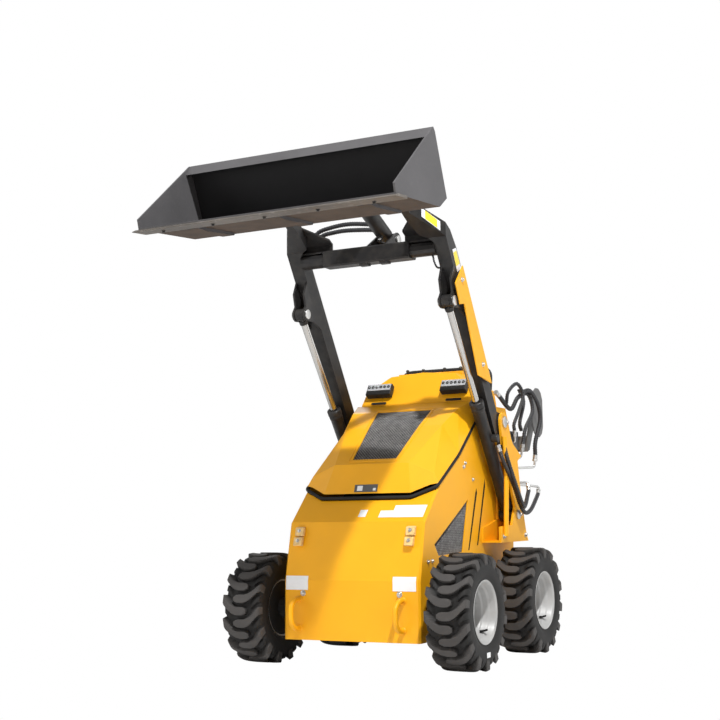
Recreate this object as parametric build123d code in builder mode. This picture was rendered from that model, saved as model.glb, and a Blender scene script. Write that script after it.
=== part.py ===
"""Wheeled skid steer loader of the small stand-on kind, arms raised, bucket level.

Millimetres. X points to the machine's left, Y to its rear and Z up. The origin lies on the
floor, in the middle of the overall length. Outlines in the side view are (y, z) pairs counted
from the front axle's line on the floor, so they are drawn on the plane called side.
"""

from build123d import *
from math import atan2, cos, degrees, pi, radians, sin
import os

os.makedirs("parts", exist_ok=True)

# ---------------------------------------------------------------- driving sizes
front_axle_y = -257.0  # front axle from the origin, which is the middle of the overall length
wheelbase = 768.0
tyre_radius = 252.0  # to the tips of the lugs, 20 inch tyre
tyre_width = 193.0
lug_height = 22.0
lug_count = 16  # on each side of the tread
rim_radius = 127.0  # 10 inch rim

body_half = 338.0  # half width over the side plates
wheel_x = body_half + 162.5  # middle of the tyre from the centre plane
sheet = 6.0  # body plates
belly_z = 122.0
body_rear_y = 1030.0
nose_bend = 9.0

arm_width = 66.0
arm_depth = 84.0
arm_slope = 58.0  # main tube above the horizontal, in degrees
arm_gap = 6.0  # from the arm to the plates beside it
inner_ear = 8.0  # tower's plate on the body's side
arm_inner_x = body_half + inner_ear + arm_gap
pin_gap = 0.05  # running fit of each pin in its bore
side_gap = 1.0  # beside bosses and rod eyes

arm_pivot = (685.0, 1112.0)
lift_base = (842.0, 662.0)
lift_eye = (137.0, 1638.0)
tip_pin = (-310.0, 2140.0)
tilt_base = (235.0, 1975.0)
tilt_eye = (-345.0, 2235.0)
tilt_x = 45.0

pivot_pin_radius = 19.0
eye_pin_radius = 15.0
barrel_radius = 31.0
rod_radius = 17.0
tilt_barrel_radius = 37.0
tilt_rod_radius = 19.0
round_sides = 12  # flat facets round every pin, boss and tube
pipe_sides = 8

bucket_half = 609.0
bucket_sheet = 6.0
bucket_side = 8.0
edge_overhang = 15.0

hood_sheet = 5.0

step_hinge = (1052.0, 236.0)
step_reach = 348.0  # from its hinge to its rear edge
step_half = 250.0

# ---------------------------------------------------------------- worked out from them
side = Plane(origin=(0, front_axle_y, 0), x_dir=(0, 1, 0), z_dir=(1, 0, 0))
front = Plane(origin=(0, front_axle_y, 0), x_dir=(1, 0, 0), z_dir=(0, -1, 0))
level = Plane(origin=(0, front_axle_y, 0), x_dir=(1, 0, 0), z_dir=(0, 0, 1))
arm_outer_x = arm_inner_x + arm_width
arm_mid_x = arm_inner_x + arm_width / 2
ear_x = arm_outer_x + arm_gap
ear_thickness = 12.0
axle_z = tyre_radius


def spot(x, y, z):
    """A point of the part from its place beside the front axle."""
    return Vector(x, front_axle_y + y, z)


def plate(points, x_from, thickness, mode=Mode.ADD):
    """Adds a plate that lies in the side view to the part in work."""
    with BuildSketch(side.offset(x_from)) as face:
        with BuildLine():
            Polyline(*points, close=True)
        make_face()
    return extrude(face.sketch, amount=thickness, mode=mode)


def ring_of(centre, radius, sides=round_sides):
    """Corners of a regular polygon round a point of the side view."""
    turns = [2 * pi * (corner + 0.5) / sides for corner in range(sides)]
    return [(centre[0] + radius * cos(turn), centre[1] + radius * sin(turn)) for turn in turns]


def disc(centre, radius, x_from, thickness, mode=Mode.ADD, sides=round_sides):
    """Adds a faceted boss that lies inside the radius, or cuts a bore that lies outside it."""
    reach = radius / cos(pi / sides) if mode == Mode.SUBTRACT else radius
    return plate(ring_of(centre, reach, sides), x_from, thickness, mode=mode)


def hull(points):
    """The corners, in turn, of the smallest outline round the points."""
    ends = []
    for ordered in (sorted(points), sorted(points, reverse=True)):
        edge = []
        for point in ordered:
            while len(edge) > 1 and turn_of(edge[-2], edge[-1], point) <= 1e-6:
                edge.pop()
            edge.append(point)
        ends += edge[:-1]
    return ends


def turn_of(first, second, third):
    """Positive where the path through three points turns left."""
    return (second[0] - first[0]) * (third[1] - first[1]) - (second[1] - first[1]) * (third[0] - first[0])


def lug_plate(centre, radius, foot, x_from, thickness):
    """Adds a plate that runs from the points of its foot round a pin."""
    return plate(hull(ring_of(centre, radius) + list(foot)), x_from, thickness)


def along(start, end, distance):
    """The side view point at a distance from start towards end."""
    run, rise = end[0] - start[0], end[1] - start[1]
    share = distance / (run * run + rise * rise) ** 0.5
    return (start[0] + run * share, start[1] + rise * share)


def bar(x, start, end, radius, mode=Mode.ADD, sides=round_sides):
    """Adds a straight faceted bar between two points of the side view, or cuts it out."""
    first, last = spot(x, *start), spot(x, *end)
    with BuildSketch(Plane(origin=first, x_dir=(1, 0, 0), z_dir=last - first)) as face:
        RegularPolygon(radius, sides, major_radius=mode != Mode.SUBTRACT)
    return extrude(face.sketch, amount=(last - first).length, mode=mode)


def pipe(points, bend, radius, steps=2):
    """Adds a faceted pipe through points (x, y, z); each corner is eased over the bend's length."""
    places = [spot(*point) for point in points]
    route = [places[0]]
    for before, corner, after in zip(places, places[1:], places[2:]):
        start = corner + (before - corner).normalized() * bend
        end = corner + (after - corner).normalized() * bend
        for step in range(steps + 1):
            share = step / steps
            route.append(start * (1 - share) ** 2 + corner * 2 * share * (1 - share) + end * share**2)
    route.append(places[-1])
    with BuildLine() as path:
        Polyline(*route)
    with BuildSketch(Plane(origin=route[0], z_dir=route[1] - route[0])) as face:
        RegularPolygon(radius, pipe_sides)
    return sweep(face.sketch, path=path.line, transition=Transition.RIGHT)


def polygon(corners):
    return Face(Wire.make_polygon(corners, close=True))


def faceted(outlines, closed=False):
    """A solid of flat faces that joins equal outlines, each a list of points, in turn.

    A strip that isn't flat is split along the diagonal that lies farther out. Unless the row of
    outlines is closed, its first and last become faces too.
    """
    everywhere = [point for outline in outlines for point in outline]
    middle = sum(everywhere, Vector()) / len(everywhere)
    faces = []
    for near, far in zip(outlines, outlines[1:] + (outlines[:1] if closed else [])):
        for index in range(len(near)):
            other = (index + 1) % len(near)
            a, b, c, d = near[index], near[other], far[other], far[index]
            if abs((b - a).cross(c - a).dot(d - a)) < 1e-3:
                faces.append(polygon((a, b, c, d)))
            elif ((a + c) / 2 - middle).length > ((b + d) / 2 - middle).length:
                faces += [polygon((a, b, c)), polygon((a, c, d))]
            else:
                faces += [polygon((a, b, d)), polygon((b, c, d))]
    if not closed:
        faces += [polygon(outlines[0]), polygon(outlines[-1])]
    return Solid(Shell(faces)).fix()


def finish(part, name):
    part.label = name
    export_step(part, f"parts/{name}.step")


# ---------------------------------------------------------------- wheels
half_tyre = tyre_width / 2
carcass_radius = tyre_radius - lug_height
bead_x = 79.9
bead_radius = rim_radius + 2.55
wheel_sides = 2 * lug_count  # flat facets of a wheel: each lug stands on the middle of one


def wheel_ring(outline):
    """A ring of flat facets round the axle, from its outline of (x, radius) corners."""
    turns = [2 * pi * (facet + 0.5) / wheel_sides for facet in range(wheel_sides)]
    rows = [[Vector(x, -radius * sin(turn), radius * cos(turn)) for x, radius in outline] for turn in turns]
    return faceted(rows, closed=True)


# half of the section from the rim to the middle of the tread, (x, radius): between two lugs, over a lug
land_outline = (
    (bead_x, bead_radius),
    (half_tyre - 3, rim_radius + 44),
    (half_tyre * 0.86, carcass_radius - 14),
    (half_tyre * 0.62, carcass_radius),
    (10.0, carcass_radius),
)
lug_outline = (
    (bead_x, bead_radius),
    (half_tyre - 2, rim_radius + 46),
    (half_tyre, carcass_radius - 2),
    (half_tyre * 0.92, tyre_radius - 3),
    (10.0, tyre_radius),
)
lug_lead = 42.0  # how far a lug's inner end runs ahead round the tread
lug_slant = 0.86  # how far it falls back for each mm outwards
# places of the tread's lines, as shares of the pitch, and whether a lug's edge stands there: left, right
tread_lines = (
    ((0.00, False), (-0.08, True)),
    ((0.08, True), (0.00, False)),
    ((0.42, True), (0.50, False)),
    ((0.50, False), (0.58, True)),
)
lug_pitch = 2 * pi / lug_count


def tread_side(hand, lug, line):
    """One line over a side of the tyre, from the bead inwards."""
    place, raised = tread_lines[line][0 if hand == 1 else 1]
    points = []
    for column, (x, radius) in enumerate(lug_outline if raised else land_outline):
        turn = lug_pitch * (lug + place) + (lug_lead - lug_slant * x) / radius
        if column == 0:
            turn = lug_pitch * (lug + line / len(tread_lines))
        points.append(Vector(hand * x, -radius * sin(turn), radius * cos(turn)))
    return points


tread_rows = []
for lug in range(lug_count):
    for line, (left, right) in enumerate(tread_lines):
        turn = lug_pitch * (lug + (left[0] + right[0]) / 2) + lug_lead / carcass_radius
        crown = Vector(0, -carcass_radius * sin(turn), carcass_radius * cos(turn))
        tread_rows.append(tread_side(1, lug, line) + [crown] + tread_side(-1, lug, line)[::-1])
with BuildPart() as tyre:
    add(faceted(tread_rows, closed=True))

disc_x = -38.0  # the wheel disc from the middle of the rim, towards the machine
disc_thickness = 10.0
hub_bore = 20.0
hub_boss = 34.0
bolt_circle = 64.0
rim_flange = 88.0
rim_wall = 3.6
rim_outline = (
    (-rim_flange, rim_radius + 10),
    (-bead_x - 0.1, rim_radius + 2.5),
    (bead_x + 0.1, rim_radius + 2.5),
    (rim_flange, rim_radius + 10),
    (rim_flange - 4, rim_radius + 2.5 - rim_wall),
    (4 - rim_flange, rim_radius + 2.5 - rim_wall),
)
with BuildPart() as rim:
    add(wheel_ring(rim_outline))
    with BuildSketch(Plane.YZ.offset(disc_x)):
        RegularPolygon(rim_radius, wheel_sides, rotation=180 / wheel_sides)
    extrude(amount=disc_thickness)
    with BuildSketch(Plane.YZ.offset(disc_x + disc_thickness)):
        RegularPolygon(hub_boss, round_sides)
    extrude(amount=20)
    with BuildSketch(Plane.YZ.offset(disc_x)):
        RegularPolygon(hub_bore + pin_gap, round_sides, major_radius=False)
    extrude(amount=disc_thickness + 20, mode=Mode.SUBTRACT)
    with BuildSketch(Plane.YZ.offset(disc_x + disc_thickness)):
        with PolarLocations(bolt_circle, 5):
            RegularPolygon(11, 6)
    extrude(amount=10)

# wheel places: name, x sign, y from the front axle
wheels = (
    ("front_left", 1, 0),
    ("front_right", -1, 0),
    ("rear_left", 1, wheelbase),
    ("rear_right", -1, wheelbase),
)
for place, hand, y in wheels:
    for kind, made in (("tyre", tyre), ("rim", rim)):
        handed = made.part if hand == 1 else made.part.mirror(Plane.YZ)
        with BuildPart() as wheel_piece:
            add(handed.moved(Location(spot(hand * wheel_x, y, axle_z))))
        finish(wheel_piece.part, f"{kind}_{place}")

flange_end = wheel_x + disc_x - side_gap
with BuildPart() as wheel_spindles:
    for place, hand, y in wheels:
        for radius, x_from, x_to, sides in (
            (66, body_half, body_half + 16, 8),
            (48, body_half + 16, flange_end, 12),
            (hub_bore, flange_end, wheel_x + disc_x + 26, round_sides),
        ):
            disc((y, axle_z), radius, hand * x_from, hand * (x_to - x_from), sides=sides)
finish(wheel_spindles.part, "wheel_spindles")

# ---------------------------------------------------------------- body
nose_foot = (-128.0, belly_z)
nose_crease = (-122.0, 385.0)
nose_brow = (-62.0, 642.0)
seam_front = (38.0, 738.0)  # lowest line of the hood, at the centre
seam_corner = (85.0, 783.0)  # where the seam meets the side plates
seam_middle = (345.0, 934.0)
seam_rear = (554.0, 1095.0)
console_foot = (612.0, 1196.0)
seam_half = body_half - 110  # half width of the straight front seam

body_outline = (
    nose_foot,
    nose_crease,
    nose_brow,
    seam_corner,
    seam_middle,
    seam_rear,
    console_foot,
    (body_rear_y - 60, console_foot[1]),
    (body_rear_y, console_foot[1] - 120),
    (body_rear_y, belly_z),
)
with BuildPart() as body_shell:
    plate(body_outline, -body_half, 2 * body_half)
    nose_edges = (
        body_shell.edges()
        .filter_by(lambda edge: abs(abs(edge.center().X) - body_half) < 0.1)
        .filter_by(lambda edge: edge.center().Y < front_axle_y + seam_corner[0] - 1)
        .filter_by(lambda edge: edge.center().Z > belly_z + 1)
    )
    chamfer(nose_edges, length=nose_bend)
    open_faces = body_shell.faces().filter_by(
        lambda face: abs(face.center().X) < 1
        and (face.center().Z < belly_z + 1 or face.center().Y > front_axle_y + seam_corner[0] + 1)
    )
    offset(amount=-sheet, openings=open_faces)
    # the hood's front edge dips below the side corners, which the side plates keep
    inside = body_half - sheet
    dip = (seam_corner[0] - seam_front[0]) / (body_half - seam_half)
    corner_y = seam_front[0] + (inside - seam_half) * dip
    with BuildSketch(level.offset(seam_front[1] - 60)):
        with BuildLine():
            Polyline(
                (-seam_half, seam_front[0]),
                (seam_half, seam_front[0]),
                (inside, corner_y),
                (inside, seam_corner[0] + 40),
                (-inside, seam_corner[0] + 40),
                (-inside, corner_y),
                close=True,
            )
        make_face()
    extrude(amount=200, mode=Mode.SUBTRACT)
    # vents in the side plates: a triangle and two long bent slots
    vent_triangle = ((40.0, 538.0), (440.0, 738.0), (360.0, 494.0), (84.0, 486.0))
    slots = (
        ((548.0, 792.0), (533.0, 770.0), (427.0, 500.0), (443.0, 500.0), (556.0, 768.0)),
        ((659.0, 845.0), (640.0, 800.0), (537.0, 520.0), (553.0, 520.0), (662.0, 800.0)),
    )
    for outline in (vent_triangle, *slots):
        plate(outline, -body_half - 1, 2 * body_half + 2, mode=Mode.SUBTRACT)
finish(body_shell.part, "body_shell")

with BuildPart() as floor_pan:
    plate(
        ((-110, belly_z), (-110, belly_z + sheet), (body_rear_y, belly_z + sheet), (body_rear_y, belly_z)),
        -inside,
        2 * inside,
    )
finish(floor_pan.part, "floor_pan")

with BuildPart() as engine:
    plate(((120, 240), (560, 240), (560, 640), (430, 820), (200, 700), (120, 560)), -210, 420)
finish(engine.part, "engine")

with BuildPart() as engine_mounts:
    for y in (180, 500):
        plate(
            ((y - 30, belly_z + sheet), (y + 30, belly_z + sheet), (y + 20, 240), (y - 20, 240)),
            -160,
            320,
        )
finish(engine_mounts.part, "engine_mounts")

grille_wire = 3.0
with BuildPart() as side_grilles:
    for hand in (1, -1):
        x_from = hand * (body_half - sheet - grille_wire)
        plate(((20, 470), (20, 560), (450, 775), (690, 880), (690, 470)), x_from, hand * grille_wire)
finish(side_grilles.part, "side_grilles")

# rubber seal along the seam, standing on the plates' edges
seal_height = 16.0
seal_width = 13.0
seal_gap = 20.0  # from the plates' edge up to the hood's edge
with BuildPart() as hood_seal:
    seam_path = [
        (body_half - 3, *seam_rear),
        (body_half - 3, *seam_middle),
        (body_half - 3, *seam_corner),
        (seam_half, *seam_front),
    ]
    seam_path += [(-x, y, z) for x, y, z in reversed(seam_path)]
    seam_path = [spot(x, y, z + seal_gap / 2 + 0.8) for x, y, z in seam_path]
    with BuildLine() as path:
        Polyline(*seam_path)
    with BuildSketch(Plane(origin=seam_path[0], z_dir=seam_path[1] - seam_path[0])) as section:
        Rectangle(seal_width, seal_height)
        chamfer(section.vertices(), length=4)
    sweep(section.sketch, path=path.line, transition=Transition.RIGHT)
finish(hood_seal.part, "hood_seal")

with BuildPart() as rear_cover:
    plate(
        (
            (body_rear_y - 6, belly_z + sheet),
            (body_rear_y, belly_z + sheet),
            (body_rear_y, console_foot[1] - 120),
            (body_rear_y - 60, console_foot[1]),
            (body_rear_y - 67, console_foot[1]),
            (body_rear_y - 6, console_foot[1] - 122),
        ),
        -body_half + sheet,
        2 * (body_half - sheet),
    )
finish(rear_cover.part, "rear_cover")

# ---------------------------------------------------------------- hood
# lines across the hood: y, ridge's x, ridge's z, height of the side seam
hood_lines = (
    (20.0, body_half - 170, 844.0, 745.0),
    (345.0, body_half - 84, 1088.0, 934.0),
    (470.0, body_half - 54, 1172.0, 1030.0),
    (588.0, body_half - 21, 1216.0, 1121.0),
)
hood_half = body_half - 2
brow_top = (102.0, 906.0)  # upper edge of the hood's front face
brow_half = body_half - 148


def hood_block(inset):
    """The hood's outline as a solid, drawn in by an inset on every face but the lowest."""
    lines = list(hood_lines)
    if inset:
        last = lines[-1]
        lines[-1] = (last[0] + 20, last[1] + 5, last[2] + 7.5, last[3] + 15)
    with BuildPart() as block:
        half = hood_half - inset
        rows = []
        for y, ridge_x, ridge_z, seam_z in lines:
            crest, crest_x = ridge_z - 1.2 * inset, ridge_x - 0.4 * inset
            right_side = ((-half, seam_z - 80), (-half, seam_z + seal_gap), (-crest_x, crest))
            left_side = tuple((-x, z) for x, z in reversed(right_side))
            rows.append([spot(x, y, z) for x, z in right_side + left_side])
        add(faceted(rows))
        facing = Vector(0, seam_front[1] - brow_top[1], brow_top[0] - seam_front[0]).normalized()
        split(bisect_by=Plane(origin=spot(0, *brow_top) - facing * inset, z_dir=-facing), keep=Keep.TOP)
        for hand in (1, -1):
            low = spot(hand * seam_half, *seam_front)
            outer = spot(hand * body_half, *seam_corner)
            top = spot(hand * brow_half, *brow_top)
            facing = (outer - low).cross(top - low).normalized() * hand
            split(bisect_by=Plane(origin=top - facing * inset, z_dir=-facing), keep=Keep.TOP)
        plate(
            (
                (nose_brow[0] - 60, nose_brow[1] + seal_gap - 60),
                (seam_corner[0], seam_corner[1] + seal_gap),
                (seam_middle[0], seam_middle[1] + seal_gap),
                (seam_rear[0], seam_rear[1] + seal_gap),
                (console_foot[0], console_foot[1] + 2 * seal_gap),
                (console_foot[0], 560),
                (nose_brow[0] - 60, 560),
            ),
            -400,
            800,
            mode=Mode.SUBTRACT,
        )
    return block.part


grille_low = (133.0, body_half - 225)  # y and half width of the hood's opening
grille_high = (485.0, body_half - 191)
with BuildPart() as hood:
    add(hood_block(0))
    add(hood_block(hood_sheet), mode=Mode.SUBTRACT)
    with BuildSketch(level.offset(860)) as opening:
        with BuildLine():
            Polyline(
                (-grille_low[1], grille_low[0]),
                (grille_low[1], grille_low[0]),
                (grille_high[1], grille_high[0]),
                (-grille_high[1], grille_high[0]),
                close=True,
            )
        make_face()
    extrude(opening.sketch, amount=400, mode=Mode.SUBTRACT)
finish(hood.part, "hood")

hood_pitch = atan2(hood_lines[1][2] - hood_lines[0][2], hood_lines[1][0] - hood_lines[0][0])
with BuildPart() as hood_grille:
    grille_drop = 6.02
    front_z = hood_lines[0][2] + (grille_low[0] - hood_lines[0][0] - 12) * sin(hood_pitch) / cos(hood_pitch)
    rear_z = hood_lines[2][2] + (grille_high[0] + 12 - hood_lines[2][0]) * 0.37
    plate(
        (
            (grille_low[0] - 12, front_z - grille_drop - 3),
            (grille_low[0] - 12, front_z - grille_drop),
            (hood_lines[1][0], hood_lines[1][2] - grille_drop),
            (hood_lines[2][0], hood_lines[2][2] - grille_drop),
            (grille_high[0] + 12, rear_z - grille_drop),
            (grille_high[0] + 12, rear_z - grille_drop - 3),
            (hood_lines[2][0], hood_lines[2][2] - grille_drop - 3),
            (hood_lines[1][0], hood_lines[1][2] - grille_drop - 3),
        ),
        -grille_high[1],
        2 * grille_high[1],
    )
finish(hood_grille.part, "hood_grille")

# ---------------------------------------------------------------- console and operator's end
console_top = ((698.0, 1371.0), (730.0, 1385.0))
console_rear = 940.0
console_wall = 4.0
# half outline seen from the front: x, z
console_side = body_half - 38
console_half = (
    (console_side, 1202.0),
    (console_side, 1222.0),
    (console_side - 10, 1290.0),
    (console_side - 122, 1371.0),
    (0.0, 1385.0),
)
console_outline = console_half + tuple((-x, z) for x, z in reversed(console_half[:-1]))
with BuildPart() as console:
    with BuildSketch(front.offset(-600)) as face:
        with BuildLine():
            Polyline(*console_outline, close=True)
        make_face()
    extrude(face.sketch, amount=-(console_rear - 600))
    plate(((590, 1202), (600, 1222), (707, 1385), (707, 1400), (590, 1400)), -310, 620, mode=Mode.SUBTRACT)
    # the rear slopes down towards the operator
    plate(((870, 1390), (940, 1290), (950, 1290), (950, 1400)), -310, 620, mode=Mode.SUBTRACT)
    under = console.faces().sort_by(Axis.Z)[0]
    offset(amount=-console_wall, openings=[under])
    plate(
        ((612, 1196), (612, 1202), (970, 1202), (970, 1196)),
        -body_half,
        2 * body_half,
    )
    plate(((790, 1371), (790, 1391), (868, 1391), (868, 1371)), 122 - console_side, 2 * (console_side - 122))
finish(console.part, "console")

lamp_place = (128.0, 649.0, 1326.0)  # inner top corner of each work lamp
with BuildPart() as work_lamps:
    for hand in (1, -1):
        plate(
            ((617.7, 1256.2), (664.7, 1328.2), (634.6, 1348), (587.6, 1276)),
            hand * lamp_place[0],
            hand * 104,
        )
    chamfer(work_lamps.edges().filter_by(Axis.X), length=5)
    for hand in (1, -1):
        plate(
            ((637.9, 1280), (651, 1300), (642.7, 1305.5), (629.6, 1285.5)),
            hand * (lamp_place[0] + 32),
            hand * 40,
        )
finish(work_lamps.part, "work_lamps")

knob_radius = 15.0
with BuildPart() as control_levers:
    for x in (-150, -60, 60, 150):
        plate(((812, 1391), (820, 1403), (844, 1403), (852, 1391)), x - 18, 36)
        bar(x, (830, 1400), (850, 1460), 6, sides=pipe_sides)
        knob = ((1456, knob_radius - 5), (1468, knob_radius), (1480, knob_radius - 6))
        turns = [2 * pi * corner / pipe_sides for corner in range(pipe_sides)]
        add(faceted([[spot(x + r * cos(turn), 852 + r * sin(turn), z) for turn in turns] for z, r in knob]))
finish(control_levers.part, "control_levers")

with BuildPart() as grab_bar:
    grip = body_half - 88
    pipe(((-grip, 958, 1207), (-grip, 1000, 1420), (grip, 1000, 1420), (grip, 958, 1207)), 60, 13)
    for x in (-grip, grip):
        plate(((942, 1202), (942, 1209), (972, 1209), (972, 1202)), x - 30, 60)
finish(grab_bar.part, "grab_bar")

with BuildPart() as hip_guards:
    for hand in (1, -1):
        ends = [corner for z in (1138, 1240) for corner in ring_of((1185, z), 80)]
        plate(hull(ends), hand * (body_half + 92), hand * 6)
        plate(
            ((1030, 980), (1030, 1060), (1120, 1215), (1180, 1215), (1180, 1180), (1060, 990)),
            hand * (body_half + 86),
            hand * 6,
        )
        plate(((1030, 980), (1036, 980), (1036, 1060), (1030, 1060)), hand * console_side, hand * 130)
finish(hip_guards.part, "hip_guards")

# ---------------------------------------------------------------- towers that carry the arms
# the inner plate stands on the body's side, the outer plate leaves the cylinder open to the front
tower_inner = (
    (600.0, 530.0),
    (600.0, 600.0),
    (800.0, 640.0),
    (800.0, 770.0),
    (689.0, 929.0),
    (570.0, 1085.0),
    (640.0, 1130.0),
    (914.0, 953.0),
    (860.0, 927.0),
    (897.0, 746.0),
    (960.0, 565.0),
    (985.0, 530.0),
)
tower_outer = (
    (606.0, 530.0),
    (606.0, 606.0),
    (760.0, 612.0),
    (806.0, 700.0),
    (704.0, 950.0),
    (650.0, 1085.0),
    (720.0, 1100.0),
    (800.0, 1010.0),
    (914.0, 953.0),
    (860.0, 927.0),
    (897.0, 746.0),
    (960.0, 565.0),
    (985.0, 530.0),
)
lobe_radius = 48.0
base_lobe_radius = 46.0
washer = 8.0
rear_web = ((985, 530), (977, 530), (952, 565), (889, 746), (852, 927), (860, 927), (897, 746), (960, 565))
for place, hand in (("left", 1), ("right", -1)):
    with BuildPart() as tower:
        for outline, x_from, thickness in (
            (tower_inner, body_half, inner_ear),
            (tower_outer, ear_x, ear_thickness),
        ):
            plate(outline, hand * x_from, hand * thickness)
            lug_plate(arm_pivot, lobe_radius, ((660, 1000), (790, 1010)), hand * x_from, hand * thickness)
            lug_plate(lift_base, base_lobe_radius, ((830, 600), (880, 600)), hand * x_from, hand * thickness)
        between = ear_x - body_half - inner_ear
        for strip in (((606, 530), (606, 538), (980, 538), (980, 530)), rear_web):
            plate(strip, hand * (body_half + inner_ear), hand * between)
    finish(tower.part, f"tower_{place}")

boss_in = body_half + inner_ear + side_gap
boss_out = ear_x - side_gap
pin_head = 9.0  # how far the head of a pin reaches past its side
with BuildPart() as frame_pins:
    for hand in (1, -1):
        for centre, radius in ((arm_pivot, pivot_pin_radius), (lift_base, eye_pin_radius)):
            disc(centre, radius, hand * (body_half + inner_ear), hand * between)
            disc(centre, radius + pin_head, hand * (ear_x + ear_thickness), hand * washer, sides=pipe_sides)
finish(frame_pins.part, "frame_pins")

with BuildPart() as tower_pipes:
    for hand in (1, -1):
        for y in (640, 662):
            pipe(
                [(hand * (ear_x + 20), y + shift, z) for shift, z in ((0, 560), (30, 900), (10, 1040))],
                60,
                8,
            )
finish(tower_pipes.part, "tower_pipes")

# ---------------------------------------------------------------- lift arms
slope = radians(arm_slope)
arm_front = (100.0, 1862.0)  # a point of the tube's front edge


def on_arm(up, back):
    """A side view point from distances up the tube and back from its front edge."""
    return (
        arm_front[0] - up * cos(slope) + back * sin(slope),
        arm_front[1] + up * sin(slope) + back * cos(slope),
    )


knee = on_arm(73, 0)
arm_outline = (
    on_arm(-969, 0),
    knee,
    (-130.0, 2018.0),
    (-290.6, 2105.0),
    (-326.0, 2176.0),
    (112.0, 1963.0),
    on_arm(-20, arm_depth),
    on_arm(-1022, arm_depth),
)
tip_width = 32.0
tip_inner_x = arm_inner_x - 72
tip_outer_x = tip_inner_x + tip_width
# the arm seen from above: the tube, then the tapering front section
arm_plan = (
    (arm_inner_x, 760.0),
    (arm_outer_x, 760.0),
    (arm_outer_x, 60.0),
    (arm_inner_x - 34, -106.0),
    (tip_outer_x, -265.0),
    (tip_outer_x, -360.0),
    (tip_inner_x, -360.0),
    (tip_inner_x, -60.0),
    (arm_inner_x - 56, 41.0),
    (arm_inner_x, 75.0),
)
boss_radius = 42.0
tip_radius = 40.0
eye_plate = 10.0
eye_plate_radius = 32.0
for place, hand in (("left", 1), ("right", -1)):
    with BuildPart() as lift_arm:
        plate(arm_outline, hand * (tip_inner_x - 10), hand * 160)
        disc(tip_pin, tip_radius, hand * (tip_inner_x - 10), hand * 160)
        with BuildSketch(level.offset(1000)) as above:
            with BuildLine():
                Polyline(*[(hand * x, y) for x, y in arm_plan], close=True)
            make_face()
        extrude(above.sketch, amount=1300, mode=Mode.INTERSECT)
        lug_plate(
            arm_pivot,
            boss_radius,
            (on_arm(-880, 0), on_arm(-880, arm_depth), on_arm(-969, 0)),
            hand * arm_inner_x,
            hand * arm_width,
        )
        disc(arm_pivot, boss_radius, hand * boss_in, hand * (boss_out - boss_in))
        for x_from in (arm_inner_x, arm_outer_x - eye_plate):
            plate(
                (on_arm(-75, 0), (112, 1737), lift_eye, on_arm(-330, 0), on_arm(-330, 5), on_arm(-75, 5)),
                hand * x_from,
                hand * eye_plate,
            )
            lug_plate(
                lift_eye,
                eye_plate_radius,
                (on_arm(-140, 0), on_arm(-290, 0)),
                hand * x_from,
                hand * eye_plate,
            )
        disc(arm_pivot, pivot_pin_radius + pin_gap, hand * body_half, hand * 160, mode=Mode.SUBTRACT)
    finish(lift_arm.part, f"lift_arm_{place}")

plate_gap = 8.0  # from the arm's tip to the ears of the attachment plate
tilt_ear_half = 40.0  # inner faces of the tilt cylinder's ears from its middle
with BuildPart() as tip_pins:
    for hand in (1, -1):
        # heads of the lift cylinder's pin on the arm's two eye plates
        for x_from, out in ((arm_inner_x, -1), (arm_outer_x, 1)):
            disc(lift_eye, eye_pin_radius + pin_head, hand * x_from, hand * out * 8, sides=pipe_sides)
        # the tip's pin stands out on both sides and carries the attachment plate
        for x_from, out in ((tip_inner_x, -1), (tip_outer_x, 1)):
            reach = plate_gap + eye_plate + 2
            disc(tip_pin, pivot_pin_radius, hand * x_from, hand * out * reach)
            disc(tip_pin, pivot_pin_radius + 9, hand * (x_from + out * reach), hand * out * 8, sides=pipe_sides)
        # the tilt cylinder's pin is held by the beam's ears
        disc(tilt_base, eye_pin_radius + 6, tilt_x + hand * (tilt_ear_half + eye_plate), hand * 8, sides=pipe_sides)
    disc(tilt_base, eye_pin_radius, tilt_x - tilt_ear_half, 2 * tilt_ear_half)
finish(tip_pins.part, "tip_pins")

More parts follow.
